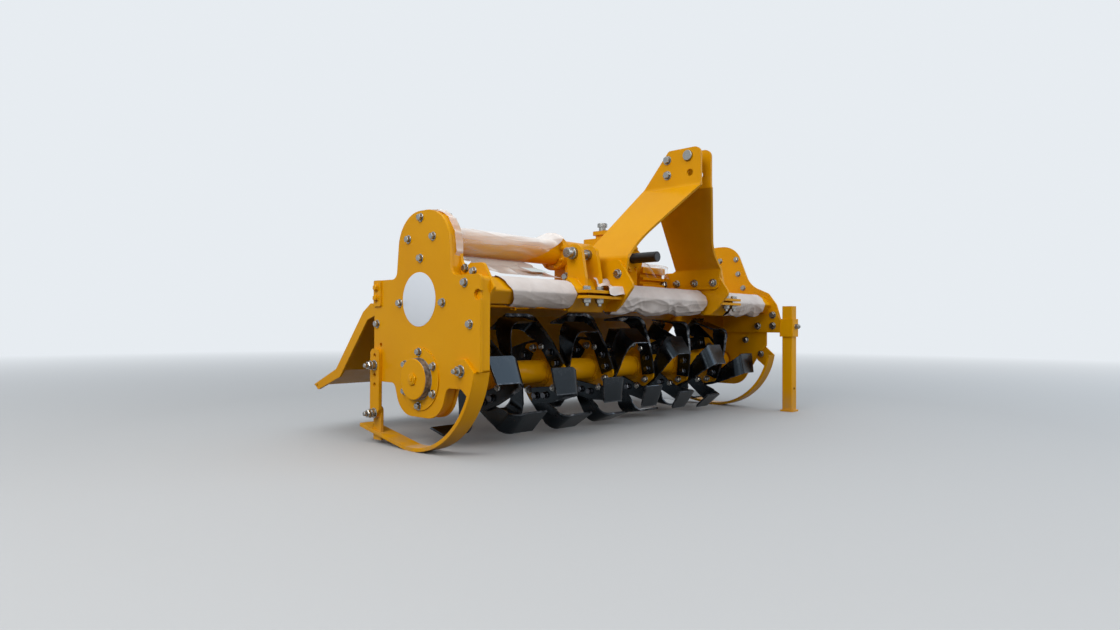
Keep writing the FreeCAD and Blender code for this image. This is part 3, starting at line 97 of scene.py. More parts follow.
def new_material(name):
    """An empty finish: the material, its nodes, its links and its surface shader."""
    material = bpy.data.materials.new(name)
    material.use_nodes = True
    nodes = material.node_tree.nodes
    return material, nodes, material.node_tree.links, nodes["Principled BSDF"]


def object_noise(nodes, links, scale, detail=3.0):
    """Noise on the object's own coordinates."""
    place = nodes.new("ShaderNodeTexCoord")
    noise = nodes.new("ShaderNodeTexNoise")
    noise.inputs["Scale"].default_value = scale
    noise.inputs["Detail"].default_value = detail
    links.new(place.outputs["Object"], noise.inputs["Vector"])
    return noise


def ramp(nodes, links, source, low, high, first=0.0, last=1.0):
    """Map a value range onto another, clamped."""
    scale = nodes.new("ShaderNodeMapRange")
    scale.inputs["From Min"].default_value = low
    scale.inputs["From Max"].default_value = high
    scale.inputs["To Min"].default_value = first
    scale.inputs["To Max"].default_value = last
    links.new(source, scale.inputs["Value"])
    return scale.outputs["Result"]


def blend_colors(nodes, links, share, first, second):
    """Mix two colours, each a tuple or a socket, by a share."""
    mix = nodes.new("ShaderNodeMix")
    mix.data_type = "RGBA"
    links.new(share, mix.inputs["Factor"])
    for socket, color in ((mix.inputs["A"], first), (mix.inputs["B"], second)):
        if isinstance(color, tuple):
            socket.default_value = color + (1,)
        else:
            links.new(color, socket)
    return mix.outputs["Result"]


def combine(nodes, links, operation, first, second):
    """Multiply, add or take the larger of two values, held between 0 and 1."""
    step = nodes.new("ShaderNodeMath")
    step.operation = operation
    step.use_clamp = True
    links.new(first, step.inputs[0])
    links.new(second, step.inputs[1])
    return step.outputs[0]


def mix_shaders(nodes, links, share, first, second, output):
    """Show the first shader, and the second by its share."""
    mix = nodes.new("ShaderNodeMixShader")
    links.new(share, mix.inputs["Fac"])
    links.new(first.outputs[0], mix.inputs[1])
    links.new(second.outputs[0], mix.inputs[2])
    links.new(mix.outputs[0], nodes[output].inputs["Surface"])


def bumped(nodes, links, surface, height, strength, distance, under=None):
    """Bump from a height, laid over another normal if one is given."""
    bump = nodes.new("ShaderNodeBump")
    bump.inputs["Strength"].default_value = strength
    bump.inputs["Distance"].default_value = distance
    links.new(height, bump.inputs["Height"])
    if under:
        links.new(under, bump.inputs["Normal"])
    links.new(bump.outputs["Normal"], surface.inputs["Normal"])
    return bump.outputs["Normal"]


def enamel():
    """Glossy yellow-orange enamel: softened edges, faint orange peel, some dust near the ground."""
    material, nodes, links, surface = new_material("enamel")
    cloud = object_noise(nodes, links, 4.0, 4.0)
    share = ramp(nodes, links, cloud.outputs["Fac"], 0.35, 0.7)
    paint = blend_colors(nodes, links, share, (0.735, 0.330, 0.0014), (0.685, 0.291, 0.0010))
    place = nodes.new("ShaderNodeTexCoord")
    height = nodes.new("ShaderNodeSeparateXYZ")
    links.new(place.outputs["Object"], height.inputs["Vector"])
    speck = object_noise(nodes, links, 24.0, 7.0)
    low = ramp(nodes, links, height.outputs["Z"], 0.01, 0.12, 0.45, 0.0)
    patchy = ramp(nodes, links, speck.outputs["Fac"], 0.35, 0.80)
    dust = combine(nodes, links, "MULTIPLY", low, patchy)
    tone = blend_colors(nodes, links, dust, paint, (0.30, 0.24, 0.17))
    links.new(tone, surface.inputs["Base Color"])
    fine =object_noise(nodes, links, 38.0, 3.0)
    links.new(ramp(nodes, links, fine.outputs["Fac"], 0.3, 0.7, 0.34, 0.46), surface.inputs["Roughness"])
    surface.inputs["Specular IOR Level"].default_value = 0.03
    surface.inputs["Coat Weight"].default_value = 0.17
    surface.inputs["Coat Roughness"].default_value = 0.07
    edge = nodes.new("ShaderNodeBevel")
    edge.samples = 4
    edge.inputs["Radius"].default_value = 0.0025
    peel = object_noise(nodes, links, 260.0, 2.0)
    normal = bumped(nodes, links, surface, peel.outputs["Fac"], 0.10, 0.0006, edge.outputs["Normal"])
    links.new(normal, surface.inputs["Coat Normal"])
    return material


def blade_paint():
    """Semi-gloss black on forged blades: streaks of bare grey where the edges wear, thin dust, and a
    bluish tint in its reflections that paints in the sky's colour.
    """
    material, nodes, links, surface = new_material("blade_paint")
    worn = nodes.new("ShaderNodeAttribute")
    worn.attribute_name = "wear"
    streak = object_noise(nodes, links, 46.0, 6.0)
    streaky = ramp(nodes, links, streak.outputs["Fac"], 0.38, 0.62)
    bare = combine(nodes, links, "MULTIPLY", worn.outputs["Fac"], streaky)
    dust = object_noise(nodes, links, 9.0, 6.0)
    dusty = ramp(nodes, links, dust.outputs["Fac"], 0.45, 0.75, 0.0, 0.4)
    base = blend_colors(nodes, links, dusty, (0.0012, 0.0013, 0.0016), (0.006, 0.006, 0.006))
    tone = blend_colors(nodes, links, bare, base, (0.17, 0.175, 0.19))
    links.new(tone, surface.inputs["Base Color"])
    links.new(bare, surface.inputs["Metallic"])
    links.new(ramp(nodes, links, dust.outputs["Fac"], 0.3, 0.7, 0.14, 0.28), surface.inputs["Roughness"])
    surface.inputs["Specular IOR Level"].default_value = 0.34
    # Bluish specular tint: painted sky-blue reflection colour.
    surface.inputs["Specular Tint"].default_value = (0.66, 0.84, 1.0, 1)
    bumped(nodes, links, surface, object_noise(nodes, links, 70.0, 4.0).outputs["Fac"], 0.14, 0.0008)
    return material


def metal(name, color, roughness, grain):
    """Bare or plated metal with a fine grain that varies its gloss."""
    material, nodes, links, surface = new_material(name)
    noise = object_noise(nodes, links, grain, 4.0)
    share = ramp(nodes, links, noise.outputs["Fac"], 0.3, 0.7)
    darker = tuple(0.72 * part for part in color)
    links.new(blend_colors(nodes, links, share, darker, color), surface.inputs["Base Color"])
    links.new(ramp(nodes, links, noise.outputs["Fac"], 0.3, 0.7, roughness * 1.35, roughness * 0.8),
              surface.inputs["Roughness"])
    surface.inputs["Metallic"].default_value = 1.0
    return material


def cast_iron():
    """Raw cast band: dull grey-brown with a coarse skin."""
    material, nodes, links, surface = new_material("cast_iron")
    skin = object_noise(nodes, links, 90.0, 8.0)
    share = ramp(nodes, links, skin.outputs["Fac"], 0.35, 0.65)
    tone = blend_colors(nodes, links, share, (0.10, 0.085, 0.075), (0.30, 0.28, 0.27))
    links.new(tone, surface.inputs["Base Color"])
    surface.inputs["Metallic"].default_value = 0.65
    surface.inputs["Roughness"].default_value = 0.55
    bumped(nodes, links, surface, skin.outputs["Fac"], 0.5, 0.002)
    return material


def plain(name, color, roughness, grain=60.0, strength=0.1):
    """One colour with a fine grain in its surface."""
    material, nodes, links, surface = new_material(name)
    surface.inputs["Base Color"].default_value = color + (1,)
    surface.inputs["Roughness"].default_value = roughness
    bumped(nodes, links, surface, object_noise(nodes, links, grain).outputs["Fac"], strength, 0.001)
    return material


def foam():
    """Thin white packing foam, faintly pink, with soft cells."""
    material, nodes, links, surface = new_material("foam")
    cloud = object_noise(nodes, links, 11.0, 5.0)
    share = ramp(nodes, links, cloud.outputs["Fac"], 0.3, 0.7)
    tone = blend_colors(nodes, links, share, (0.56, 0.478, 0.432), (0.68, 0.603, 0.555))
    links.new(tone, surface.inputs["Base Color"])
    surface.inputs["Roughness"].default_value = 0.62
    surface.inputs["Specular IOR Level"].default_value = 0.35
    bumped(nodes, links, surface, object_noise(nodes, links, 90.0, 6.0).outputs["Fac"], 0.4, 0.0016)
    return material


def film(name, color):
    """Milky see-through film: paint shows through it, folds and slanted parts are whiter; its points'
    mark adds milkiness and, on the drive tube's top, a painted sky reflection.
    """
    material, nodes, links, surface = new_material(name)
    surface.inputs["Base Color"].default_value = color + (1,)
    surface.inputs["Roughness"].default_value = 0.20
    surface.inputs["Specular IOR Level"].default_value = 0.7
    place = nodes.new("ShaderNodeTexCoord")
    drawn = nodes.new("ShaderNodeVectorMath")
    drawn.operation = "MULTIPLY"
    drawn.inputs[1].default_value = (5.0, 30.0, 30.0)
    links.new(place.outputs["Object"], drawn.inputs[0])
    crease = nodes.new("ShaderNodeTexNoise")
    crease.inputs["Scale"].default_value = 1.0
    crease.inputs["Detail"].default_value = 2.0
    links.new(drawn.outputs["Vector"], crease.inputs["Vector"])
    bumped(nodes, links, surface, crease.outputs["Fac"], 0.35, 0.005)
    clear = nodes.new("ShaderNodeBsdfTransparent")
    clear.inputs["Color"].default_value = (0.97, 0.96, 0.95, 1)
    # Points' mark: the milkiness of folds, and on the drive tube also a painted sky reflection along its
    # top.
    milk_and_sheen = nodes.new("ShaderNodeAttribute")
    milk_and_sheen.attribute_name = "milk_and_painted_sheen"
    slant = nodes.new("ShaderNodeLayerWeight")
    slant.inputs["Blend"].default_value = 0.5
    total = milk_and_sheen.outputs["Fac"]
    for more in (ramp(nodes, links, crease.outputs["Fac"], 0.45, 0.80, 0.0, 0.25),
                 ramp(nodes, links, slant.outputs["Facing"], 0.45, 0.98, 0.0, 0.6)):
        total = combine(nodes, links, "ADD", total, more)
    mix_shaders(nodes, links, total, clear, surface, "Material Output")
    return material


FINISHES = {
    "enamel": enamel(),
    "blade_paint": blade_paint(),
    "zinc": metal("zinc", (0.36, 0.355, 0.335), 0.26, 140.0),
    "steel": metal("steel", (0.33, 0.33, 0.33), 0.34, 90.0),
    "black_steel": metal("black_steel", (0.105, 0.11, 0.125), 0.22, 120.0),
    "cap_rubber": plain("cap_rubber", (0.006, 0.006, 0.007), 0.42),
    "foam": foam(),
    "film": film("film", (0.84, 0.76, 0.70)),
    "slack_film": film("slack_film", (0.50, 0.44, 0.40)),
    "cast_iron": cast_iron(),
    "vinyl": plain("vinyl", (0.74, 0.77, 0.82), 0.28, 8.0, 0.03),
    "paper": plain("paper", (0.50, 0.54, 0.52), 0.6),
}
slots = {part["node"]: part["material_slot"] for part in frame["record"]["subparts"]}
for name, thing in frame["nodes"].items():
    thing.data.materials.clear()
    thing.data.materials.append(FINISHES[slots[name]])


# ---- Surfaces ----

class Batch:
    """Surfaces that share a finish and a body, gathered into one mesh."""

    def __init__(self, name, finish, body="frame", sharp=32.0):
        self.name, self.finish, self.body, self.sharp = name, finish, body, sharp
        self.points, self.faces, self.marks, self.count = [], [], [], 0

    def add(self, points, faces, marks=None):
        """Take in one surface, with a mark between 0 and 1 at each of its points."""
        points = np.asarray(points, float).reshape(-1, 3)
        self.points.append(points)
        self.faces += [tuple(index + self.count for index in face) for face in faces]
        marks = np.zeros(len(points)) if marks is None else np.asarray(marks, float)
        self.marks.append(marks.ravel())
        self.count += len(points)

    def build(self, attribute=None):
        """Make the mesh on its body; attribute names the marks that its finish reads."""
        mesh = bpy.data.meshes.new(self.name)
        mesh.from_pydata(np.concatenate(self.points).tolist(), [], self.faces)
        if attribute:
            layer = mesh.attributes.new(attribute, "FLOAT", "POINT")
            layer.data.foreach_set("value", np.concatenate(self.marks).astype(np.float32))
        mesh.polygons.foreach_set("use_smooth", [True] * len(mesh.polygons))
        mesh.set_sharp_from_angle(angle=math.radians(self.sharp))
        mesh.materials.append(FINISHES[self.finish])
        thing = bpy.data.objects.new(self.name, mesh)
        bpy.context.collection.objects.link(thing)
        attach(thing, self.body)
        return thing


def grid_faces(rows, columns, closed=False):
    """Quads of a grid of points, row by row; closed joins the last column to the first."""
    faces = []
    for row in range(rows - 1):
        for column in range(columns if closed else columns - 1):
            after = (column + 1) % columns
            faces.append((row * columns + column, row * columns + after,
                          (row + 1) * columns + after, (row + 1) * columns + column))
    return faces


def two_across(out):
    """Two unit directions square to one another and to out."""
    out = np.asarray(out, float) / np.linalg.norm(out)
    other = np.array((0.0, 0.0, 1.0)) if abs(out[2]) < 0.9 else np.array((0.0, 1.0, 0.0))
    first = np.cross(other, out)
    first /= np.linalg.norm(first)
    return out, first, np.cross(out, first)


def lathe(batch, profile, place, out, sides=24, phase=0.0, capped=True):
    """Profile of (distance along out, radius) turned about a line through place."""
    out, first, second = two_across(out)
    angle = phase + np.arange(sides) * 2 * math.pi / sides
    ring = np.cos(angle)[:, None] * first + np.sin(angle)[:, None] * second
    points = [np.asarray(place) + along * out + radius * ring for along, radius in profile]
    faces = grid_faces(len(profile), sides, True)
    if capped:
        faces.append(tuple(range(sides))[::-1])
        faces.append(tuple(range((len(profile) - 1) * sides, len(profile) * sides)))
    batch.add(np.concatenate(points), faces)


def bolt(batch, place, out, wide=0.019, head=0.008, washer=0.013, stud=0.0):
    """Washer and chamfered hexagon, wide across its flats, with a stud's end where it is a nut."""
    phase = CHANCE.uniform(0, math.pi / 3)
    corner = wide / 2 / math.cos(math.pi / 6)
    seat = 0.0024
    lathe(batch, [(0, washer), (seat - 0.0006, washer), (seat, washer * 0.95)], place, out)
    lathe(batch, [(seat, corner * 0.93), (seat + 0.0010, corner), (seat + head * 0.8, corner),
                  (seat + head, corner * 0.84)], place, out, 6, phase)
    if stud:
        top = seat + head
        lathe(batch, [(top, wide * 0.31), (top + stud * 0.8, wide * 0.31), (top + stud, wide * 0.24)],
              place, out, 16)


def bead(batch, start, end, radius=0.004):
    """Weld bead: a tube from start to end whose radius ripples along its length."""
    start, end = np.asarray(start, float), np.asarray(end, float)
    length = np.linalg.norm(end - start)
    _, first, second = two_across(end - start)
    steps = max(6, int(length / BEAD_STEP))
    along = np.linspace(0, 1, steps)
    girth = radius * (1 + RIPPLE * np.sin(along * length / RIPPLE_LENGTH * 2 * math.pi))
    girth *= np.clip(np.minimum(along, 1 - along) * length / radius, 0.25, 1) ** 0.5
    angle = np.arange(8) * math.pi / 4
    ring = np.cos(angle)[:, None] * first + np.sin(angle)[:, None] * second
    points = start + along[:, None, None] * (end - start) + girth[:, None, None] * ring
    batch.add(points, grid_faces(steps, 8, True))


def ring_bead(batch, place, out, reach, radius=0.004):
    """Weld bead that runs once round a line through place."""
    out, first, second = two_across(out)
    steps = int(2 * math.pi * reach / BEAD_STEP)
    turn = np.arange(steps) * 2 * math.pi / steps
    spoke = np.cos(turn)[:, None] * first + np.sin(turn)[:, None] * second
    girth = radius * (1 + RIPPLE * np.sin(turn * round(reach * 2 * math.pi / RIPPLE_LENGTH)))
    angle = np.arange(8) * math.pi / 4
    outward, sideways = girth[:, None] * np.cos(angle), girth[:, None] * np.sin(angle)
    points = (np.asarray(place) + (reach + outward)[:, :, None] * spoke[:, None, :]
              + sideways[:, :, None] * out)
    last = (steps - 1) * 8
    closing = [(last + side, last + (side + 1) % 8, (side + 1) % 8, side) for side in range(8)]
    batch.add(points, grid_faces(steps, 8, True) + closing)


def ahead(depth):
    """Y of a place that lies so far ahead of the rotor's axis."""
    return AXIS_Y - depth


def polar(middle, radius, degrees):
    """(ahead, z) of a place on a circle in an end plate."""
    turn = math.radians(degrees)
    return middle[0] + radius * math.cos(turn), middle[1] + radius * math.sin(turn)


def flange_x(count):
    """X of a blade flange: the flanges are spread evenly about the middle of the tube."""
    return (count - (FLANGES - 1) / 2) * FLANGE_PITCH


# ---- Fasteners ----

bolts = Batch("frame_bolts", "zinc")
# Near cover, (ahead, z): rim bolts, the dome over the upper gear, and the hub's ring.
rim = [(0.213, 0.514), (-0.108, 0.460), (0.111, 0.458), (-0.235, 0.394), (0.237, 0.394)]
dome = [polar((0, DRIVE_Z), 0.063, degrees) for degrees in (0, 90, 180, 270)]
for depth, z in rim + dome:
    bolt(bolts, (COVER_X, ahead(depth), z), LEFT, 0.019, 0.0095, 0.0135)
for degrees in (90, 30, -30, -90, -150, 150):
    depth, z = polar((0, ROTOR_Z), 0.083, degrees)
    bolt(bolts, (COVER_X - 0.003, ahead(depth), z), LEFT, 0.018, 0.0095, 0.0130)
# Frame plate's lug, seen past the cover.
for depth, z in ((0.168, 0.560), (0.205, 0.549)):
    bolt(bolts, (-0.908, ahead(depth), z), LEFT, 0.019, 0.009, 0.0135)
# Skid's front bolt, and the doubled nuts on its link.
for side, face in SKID_FACE.items():
    out = (side, 0, 0)
    bolt(bolts, (face, ahead(0.209), 0.259), out, 0.026, 0.014, 0.018, 0.014)
    for z in (0.258, 0.101):
        bolt(bolts, (face + side * 0.002, ahead(LINK_AHEAD), z), out, 0.024, 0.012, 0.017)
        bolt(bolts, (face + side * 0.0164, ahead(LINK_AHEAD), z), out, 0.024, 0.011, 0.0155, 0.012)
# Far plate's inner face, and the stand's arm on it.
for depth, z in ((-0.016, 0.720), (0.073, 0.723), (0.084, 0.650), (0.111, 0.580)):
    bolt(bolts, (PLATE_X, ahead(depth), z), LEFT, 0.019, 0.009, 0.0135)
for depth, z in ((0.270, 0.446), (0.194, 0.394), (0.270, 0.395)):
    bolt(bolts, (0.888, ahead(depth), z), LEFT, 0.024, 0.011, 0.017)
for depth, z in ((0.125, 0.326), (0.205, 0.260), (-0.100, 0.330)):
    bolt(bolts, (PLATE_X, ahead(depth), z), LEFT, 0.022, 0.010, 0.016)
# Far plate's outer face and its hub.
for depth, z in ((0.213, 0.514), (-0.213, 0.514), (-0.235, 0.394), (0.270, 0.446), (0.194, 0.394),
                 (0.270, 0.395), (0.125, 0.326), (-0.016, 0.720), (0.073, 0.723), (0.084, 0.650),
                 (0.111, 0.580)):
    bolt(bolts, (PLATE_OUTSIDE, ahead(depth), z), RIGHT, 0.019, 0.010, 0.0135, 0.006)
for degrees in range(30, 390, 60):
    depth, z = polar((0, ROTOR_Z), 0.085, degrees)
    bolt(bolts, (0.918, ahead(depth), z), RIGHT, 0.018, 0.009, 0.0115)
# Mast: spacer bolts through the head, and the feet.
MAST_FOOT_Z = 0.571
for side in (-1, 1):
    out = (side, 0, 0)
    for z in (1.014, 0.957):
        stud = 0.006 if side > 0 else 0
        bolt(bolts, (side * 0.040, ahead(0.296), z), out, 0.024, 0.011, 0.017, stud)
    for depth in (0.288, 0.199, 0.112, 0.047):
        outside, inside = [(side * x, ahead(depth), MAST_FOOT_Z) for x in (0.330, 0.308)]
        bolt(bolts, outside, out, 0.024, 0.011, 0.0165)
        bolt(bolts, inside, (-side, 0, 0), 0.024, 0.013, 0.0165, 0.008)
# Clamp lips: bolts from above, nuts below.
for side in (-1, 1):
    for x in (0.424, 0.490):
        bolt(bolts, (side * x, ahead(0.283), 0.509), UP, 0.024, 0.011, 0.017)
        bolt(bolts, (side * x, ahead(0.283), 0.481), DOWN, 0.024, 0.013, 0.017, 0.010)
# Cradle's feet on the hood.
for x in (-0.285, -0.19, 0.19, 0.285):
    bolt(bolts, (x, ahead(-0.058), 0.556), UP, 0.019, 0.009, 0.0135)
# Stand collar's clamping bolt.
bolt(bolts, (0.866, ahead(0.3935), 0.392), FRONT, 0.019, 0.016, 0.012, 0.004)
lathe(bolts, [(0, 0.0075), (0.012, 0.0075)], (0.8965, ahead(0.363), 0.392), RIGHT, 16)
bolts.build()

painted = Batch("painted_bolts", "enamel")
# Small plate at the near case's rear corner.
for z in (0.513, 0.479):
    bolt(painted, (-0.954, ahead(-0.232), z), LEFT, 0.018, 0.008, 0.0125)
# Gearbox lid, bearing boss, trunnion flange and blank cap, painted over with the box.
for x in (-0.020, 0.062):
    for depth in (0.020, -0.033):
        bolt(painted, (x, ahead(depth), 0.772), UP, 0.013, 0.005, 0.0090)
for degrees in range(0, 360, 60):
    x, z = polar((0, DRIVE_Z), 0.046, degrees)
    bolt(painted, (x, ahead(0.102), z), FRONT, 0.013, 0.006, 0.0090)
for degrees in range(15, 375, 45):
    depth, z = polar((0, DRIVE_Z), 0.055, degrees)
    bolt(painted, (-0.357, ahead(depth), z), LEFT, 0.012, 0.006, 0.0085)
    bolt(painted, (0.125, ahead(depth), z), RIGHT, 0.012, 0.006, 0.0085)
# Hub's plug: a low hexagon with a square on it.
lathe(painted, [(0, 0.020), (0.004, 0.020), (0.005, 0.017)],
      (-0.975, AXIS_Y, ROTOR_Z), LEFT, 6, 0.3)
lathe(painted, [(0.005, 0.0085), (0.0075, 0.0085), (0.008, 0.007)],
      (-0.976, AXIS_Y, ROTOR_Z), LEFT, 4, 0.6)
painted.build()

band = Batch("hub_band", "cast_iron")
lathe(band, [(0.0032, 0.0655), (0.004, 0.0637), (0.0235, 0.0637), (0.0245, 0.0628)],
      (COVER_X, AXIS_Y, ROTOR_Z), LEFT, 96, capped=False)
band.build()

sticker = Batch("blank_disc", "vinyl")
lathe(sticker, [(0.0001, 0.0835), (0.0006, 0.0840), (0.0008, 0.0833)],
      (COVER_X, ahead(-0.007), 0.470), LEFT, 96)
sticker.build()


# ---- Welds ----

welds = Batch("frame_welds", "enamel", sharp=60)
for side in (-1, 1):
    for inner in (0.374, 0.452):
        for x in (inner, inner + 0.014):
            bead(welds, (side * x, ahead(0.253), 0.516), (side * x, ahead(0.219), 0.550))
            bead(welds, (side * x, ahead(0.215), 0.550), (side * x, ahead(0.181), 0.516))
    skid = SKID_FACE[side] - side * 0.010
    bead(welds, (skid, ahead(0.262), 0.236), (skid, ahead(0.247), 0.196), 0.003)
    plate = side * PLATE_X
    bead(welds, (plate, ahead(0.171), 0.519), (plate, ahead(0.150), 0.539), 0.003)
    bead(welds, (plate, ahead(0.150), 0.539), (plate, ahead(-0.148), 0.539), 0.003)
    bead(welds, (plate, ahead(-0.150), 0.539), (plate, ahead(-0.236), 0.468), 0.003)
# Beam's end on the far plate, the stand's arm and collar, and the cradle's feet.
bead(welds, (PLATE_X, ahead(BEAM_AHEAD + 0.042), BEAM_Z - 0.001),
     (PLATE_X, ahead(BEAM_AHEAD), BEAM_Z - 0.042))
bead(welds, (PLATE_X, ahead(BEAM_AHEAD), BEAM_Z - 0.001),
     (PLATE_X, ahead(BEAM_AHEAD - 0.042), BEAM_Z))
bead(welds, (0.888, ahead(0.333), 0.365), (0.888, ahead(0.333), 0.425), 0.0035)
bead(welds, (0.8355, ahead(0.3325), 0.345), (0.8355, ahead(0.3325), 0.427), 0.002)
for x in (-0.300, 0.300):
    bead(welds, (x, ahead(0.050), 0.5565), (x, ahead(-0.034), 0.5565), 0.003)
welds.build()

rotor_welds = Batch("rotor_welds", "enamel", "rotor", 60)
for count in range(FLANGES):
    middle = flange_x(count)
    for side in (-1, 1):
        ring_bead(rotor_welds, (middle + side * 0.0055, AXIS_Y, ROTOR_Z), RIGHT, 0.0510, 0.0040)
        ring_bead(rotor_welds, (middle + side * 0.0110, AXIS_Y, ROTOR_Z), RIGHT, 0.0430, 0.0045)
rotor_welds.build()


# ---- Blades ----

# Degrees: the first flange's first blade, the step from flange to flange, and a bar's lead.
FIRST_WING, HELIX, LEAD = 9.0, 14.0, 11.5
# Side that the wings point to, and degrees that the hand is turned by.
HANDS = {"blades_left": (-1, 0), "blades_right": (1, 60)}
# The bar: half its thickness, its middle's place across and in x, and its bolts on either side.
HALF = 0.004
BAR_ACROSS, BAR_X, BOLT_ALONG = -0.087, 0.009, 0.0233
# The bend: radius, start, and the drift and width there.
BEND, BEND_START, BEND_DRIFT, BEND_WIDTH = 0.036, 0.156, 0.024, 0.076
# The wing: where it starts and ends in x, how far its end slants, its drift, width and ground edge.
WING_X, WING_END, WING_SLANT = BAR_X + BEND, 0.148, 0.014
WING_DRIFT, WING_WIDTH, WING_GROUND = 0.045, 0.092, 0.008


def blade_form():
    """Right-hand blade in its own frame: (x, across, along) of its sections' points, and their wear.

    The path runs straight along the bar, drifts across by interpolation between the stations,
    turns a quarter circle of 36 mm into the machine's X and runs on straight. Each section is an
    oblong with worn corners and one ground edge.
    """
    along = np.array([-0.045, -0.044, 0.0, 0.045, 0.072, 0.100, 0.118, 0.134, 0.148, BEND_START])
    drift = np.interp(along, [0.045, 0.100, 0.148], [0, 0.007, BEND_DRIFT])
    width = np.interp(along, [0.100, 0.148], [0.060, BEND_WIDTH])
    ground = np.interp(along, [0.045, 0.100, 0.148], [0.001, 0.004, WING_GROUND])
    stations = [(a, d, BAR_X, w, g, 0.0, 0.0) for a, d, w, g in zip(along, drift, width, ground)]
    for turn in np.linspace(9, 90, 10):
        lean, share = math.radians(turn), turn / 90
        stations.append((BEND_START + BEND * math.sin(lean),
                         BEND_DRIFT + (WING_DRIFT - BEND_DRIFT) * share,
                         BAR_X + BEND * (1 - math.cos(lean)),
                         BEND_WIDTH + (WING_WIDTH - BEND_WIDTH) * share, WING_GROUND, lean, 0.0))
    for share in (0.25, 0.5, 0.75, 0.985, 1.0):
        stations.append((BEND_START + BEND, WING_DRIFT, WING_X, WING_WIDTH, WING_GROUND,
                         math.pi / 2, share))
    corner = 0.0014
    rows, wear = [], []
    for index, (a, d, x, w, g, lean, share) in enumerate(stations):
        edge, back = -w / 2, w / 2
        # Round the section from its ground edge: (across, through the thickness, wear).
        section = [(edge, -HALF + 0.0008, 1.0), (edge + g * 0.5, -HALF * 0.15, 1.0),
                   (edge + g, HALF, 0.85), (edge + g + 0.006, HALF, 0.0), (0, HALF, 0.0),
                   (back - corner, HALF, 0.15), (back, HALF - corner, 0.75),
                   (back, -HALF + corner, 0.75), (back - corner, -HALF, 0.15), (0, -HALF, 0.0),
                   (edge + 0.006, -HALF, 0.0), (edge + 0.001, -HALF, 0.8)]
        last = index == len(stations) - 1
        row = []
        for across, skin, mark in section:
            end = WING_END - WING_SLANT * (0.5 - across / w)
            side = x + skin * math.cos(lean) + share * (end - WING_X)
            row.append((side, BAR_ACROSS + d + across, a - skin * math.sin(lean)))
            wear.append(max(mark, 0.9 if last else 0.0) if a > 0.06 else mark * 0.3)
        rows.append(row)
    return np.array(rows), np.array(wear)


def on_flange(x, across, along, count, third, offset):
    """Place of the blade's own frame on a flange: turned by the lead, then to the blade's angle."""
    lead = math.radians(90 - LEAD)
    y = across * math.cos(lead) - along * math.sin(lead)
    z = across * math.sin(lead) + along * math.cos(lead)
    angle = math.radians(FIRST_WING - HELIX * count + offset + 120 * third)
    return (x + flange_x(count), y * math.cos(angle) + z * math.sin(angle) + AXIS_Y,
            z * math.cos(angle) - y * math.sin(angle) + ROTOR_Z)


def place_blades(name, hand, offset):
    """Turn and copy the blade to three places on each of the six flanges."""
    rows, wear = blade_form()
    x, across, along = rows[..., 0] * hand, rows[..., 1], rows[..., 2]
    sections, ring = rows.shape[:2]
    ends = [tuple(range(ring))[::-1], tuple(range((sections - 1) * ring, sections * ring))]
    faces = grid_faces(sections, ring, True) + ends
    if hand < 0:
        faces = [face[::-1] for face in faces]
    batch = Batch("forged_" + name, "blade_paint", "rotor", 38)
    for count in range(FLANGES):
        for third in range(3):
            batch.add(np.stack(on_flange(x, across, along, count, third, offset), -1), faces, wear)
    thing = batch.build("wear")
    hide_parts(name)


for name, (hand, offset) in HANDS.items():
    place_blades(name, hand, offset)

heads = Batch("blade_bolts", "black_steel", "rotor")
nuts = Batch("blade_nuts", "zinc", "rotor")
for hand, offset in HANDS.values():
    for count in range(FLANGES):
        for third in range(3):
            for along in (-BOLT_ALONG, BOLT_ALONG):
                under_head = on_flange(hand * 0.013, BAR_ACROSS, along, count, third, offset)
                under_nut = on_flange(-hand * 0.005, BAR_ACROSS, along, count, third, offset)
                bolt(heads, under_head, (hand, 0, 0), 0.022, 0.012, 0.0145)
                bolt(nuts, under_nut, (-hand, 0, 0), 0.022, 0.011, 0.0145, 0.006)
heads.build()
nuts.build()


# ---- Packing ----

def creases(x, s, count, lengths, depth, seed):
    """Sum of narrow folds: each is a bell across a slanted line, faded along it."""
    chance = np.random.default_rng(seed)
    total = np.zeros_like(x)
    low, high = x.min(), x.max()
    for _ in range(count):
        middle, slant = chance.uniform(low, high), chance.normal(0, lengths[0])
        width = chance.uniform(*lengths[1])
        where, spread = chance.uniform(s.min(), s.max()), chance.uniform(0.5, 1.6)
        line = x - middle - slant * (s - where)
        bell, fade = np.exp(-(line / width) ** 2), np.exp(-((s - where) / spread) ** 2)
        total += chance.uniform(0.3, 1.0) * bell * fade
    return depth * total


def unit_noise(x, s, seed, waves=9, pitch=(8.0, 40.0)):
    """Smooth noise from a sum of sines with random directions and phases, from -1 to 1."""
    chance = np.random.default_rng(seed)
    total = np.zeros_like(x)
    for _ in range(waves):
        along, around, phase = chance.uniform(*pitch), chance.uniform(-3, 3), chance.uniform(0, 6.3)
        total += np.sin(along * x + around * s + phase)
    return total / waves


def folded(x, s, seed, across, along, bend):
    """Ridges of a crumpled sheet, 0 to 1: 1 - |sin| of a phase that wanders over x and s."""
    wander = bend * 3 * unit_noise(x, s, seed, 7, (8, 30))
    return 1 - np.abs(np.sin(across * s + along * x + wander))


def sheet_mesh(name, finish, points, rows, columns, marks=None):
    """Smooth sheet through a grid of points, with how milky it is at each, painted sheen included where
    it is given.
    """
    batch = Batch(name, finish, "frame", 180)
    batch.add(points, grid_faces(rows, columns), marks)
    return batch.build("milk_and_painted_sheen")


def sheet_grid(along, around):
    """Two grids of even values, each from (first, last, count): rows along, columns around."""
    return np.meshgrid(np.linspace(*along), np.linspace(*around), indexing="ij")


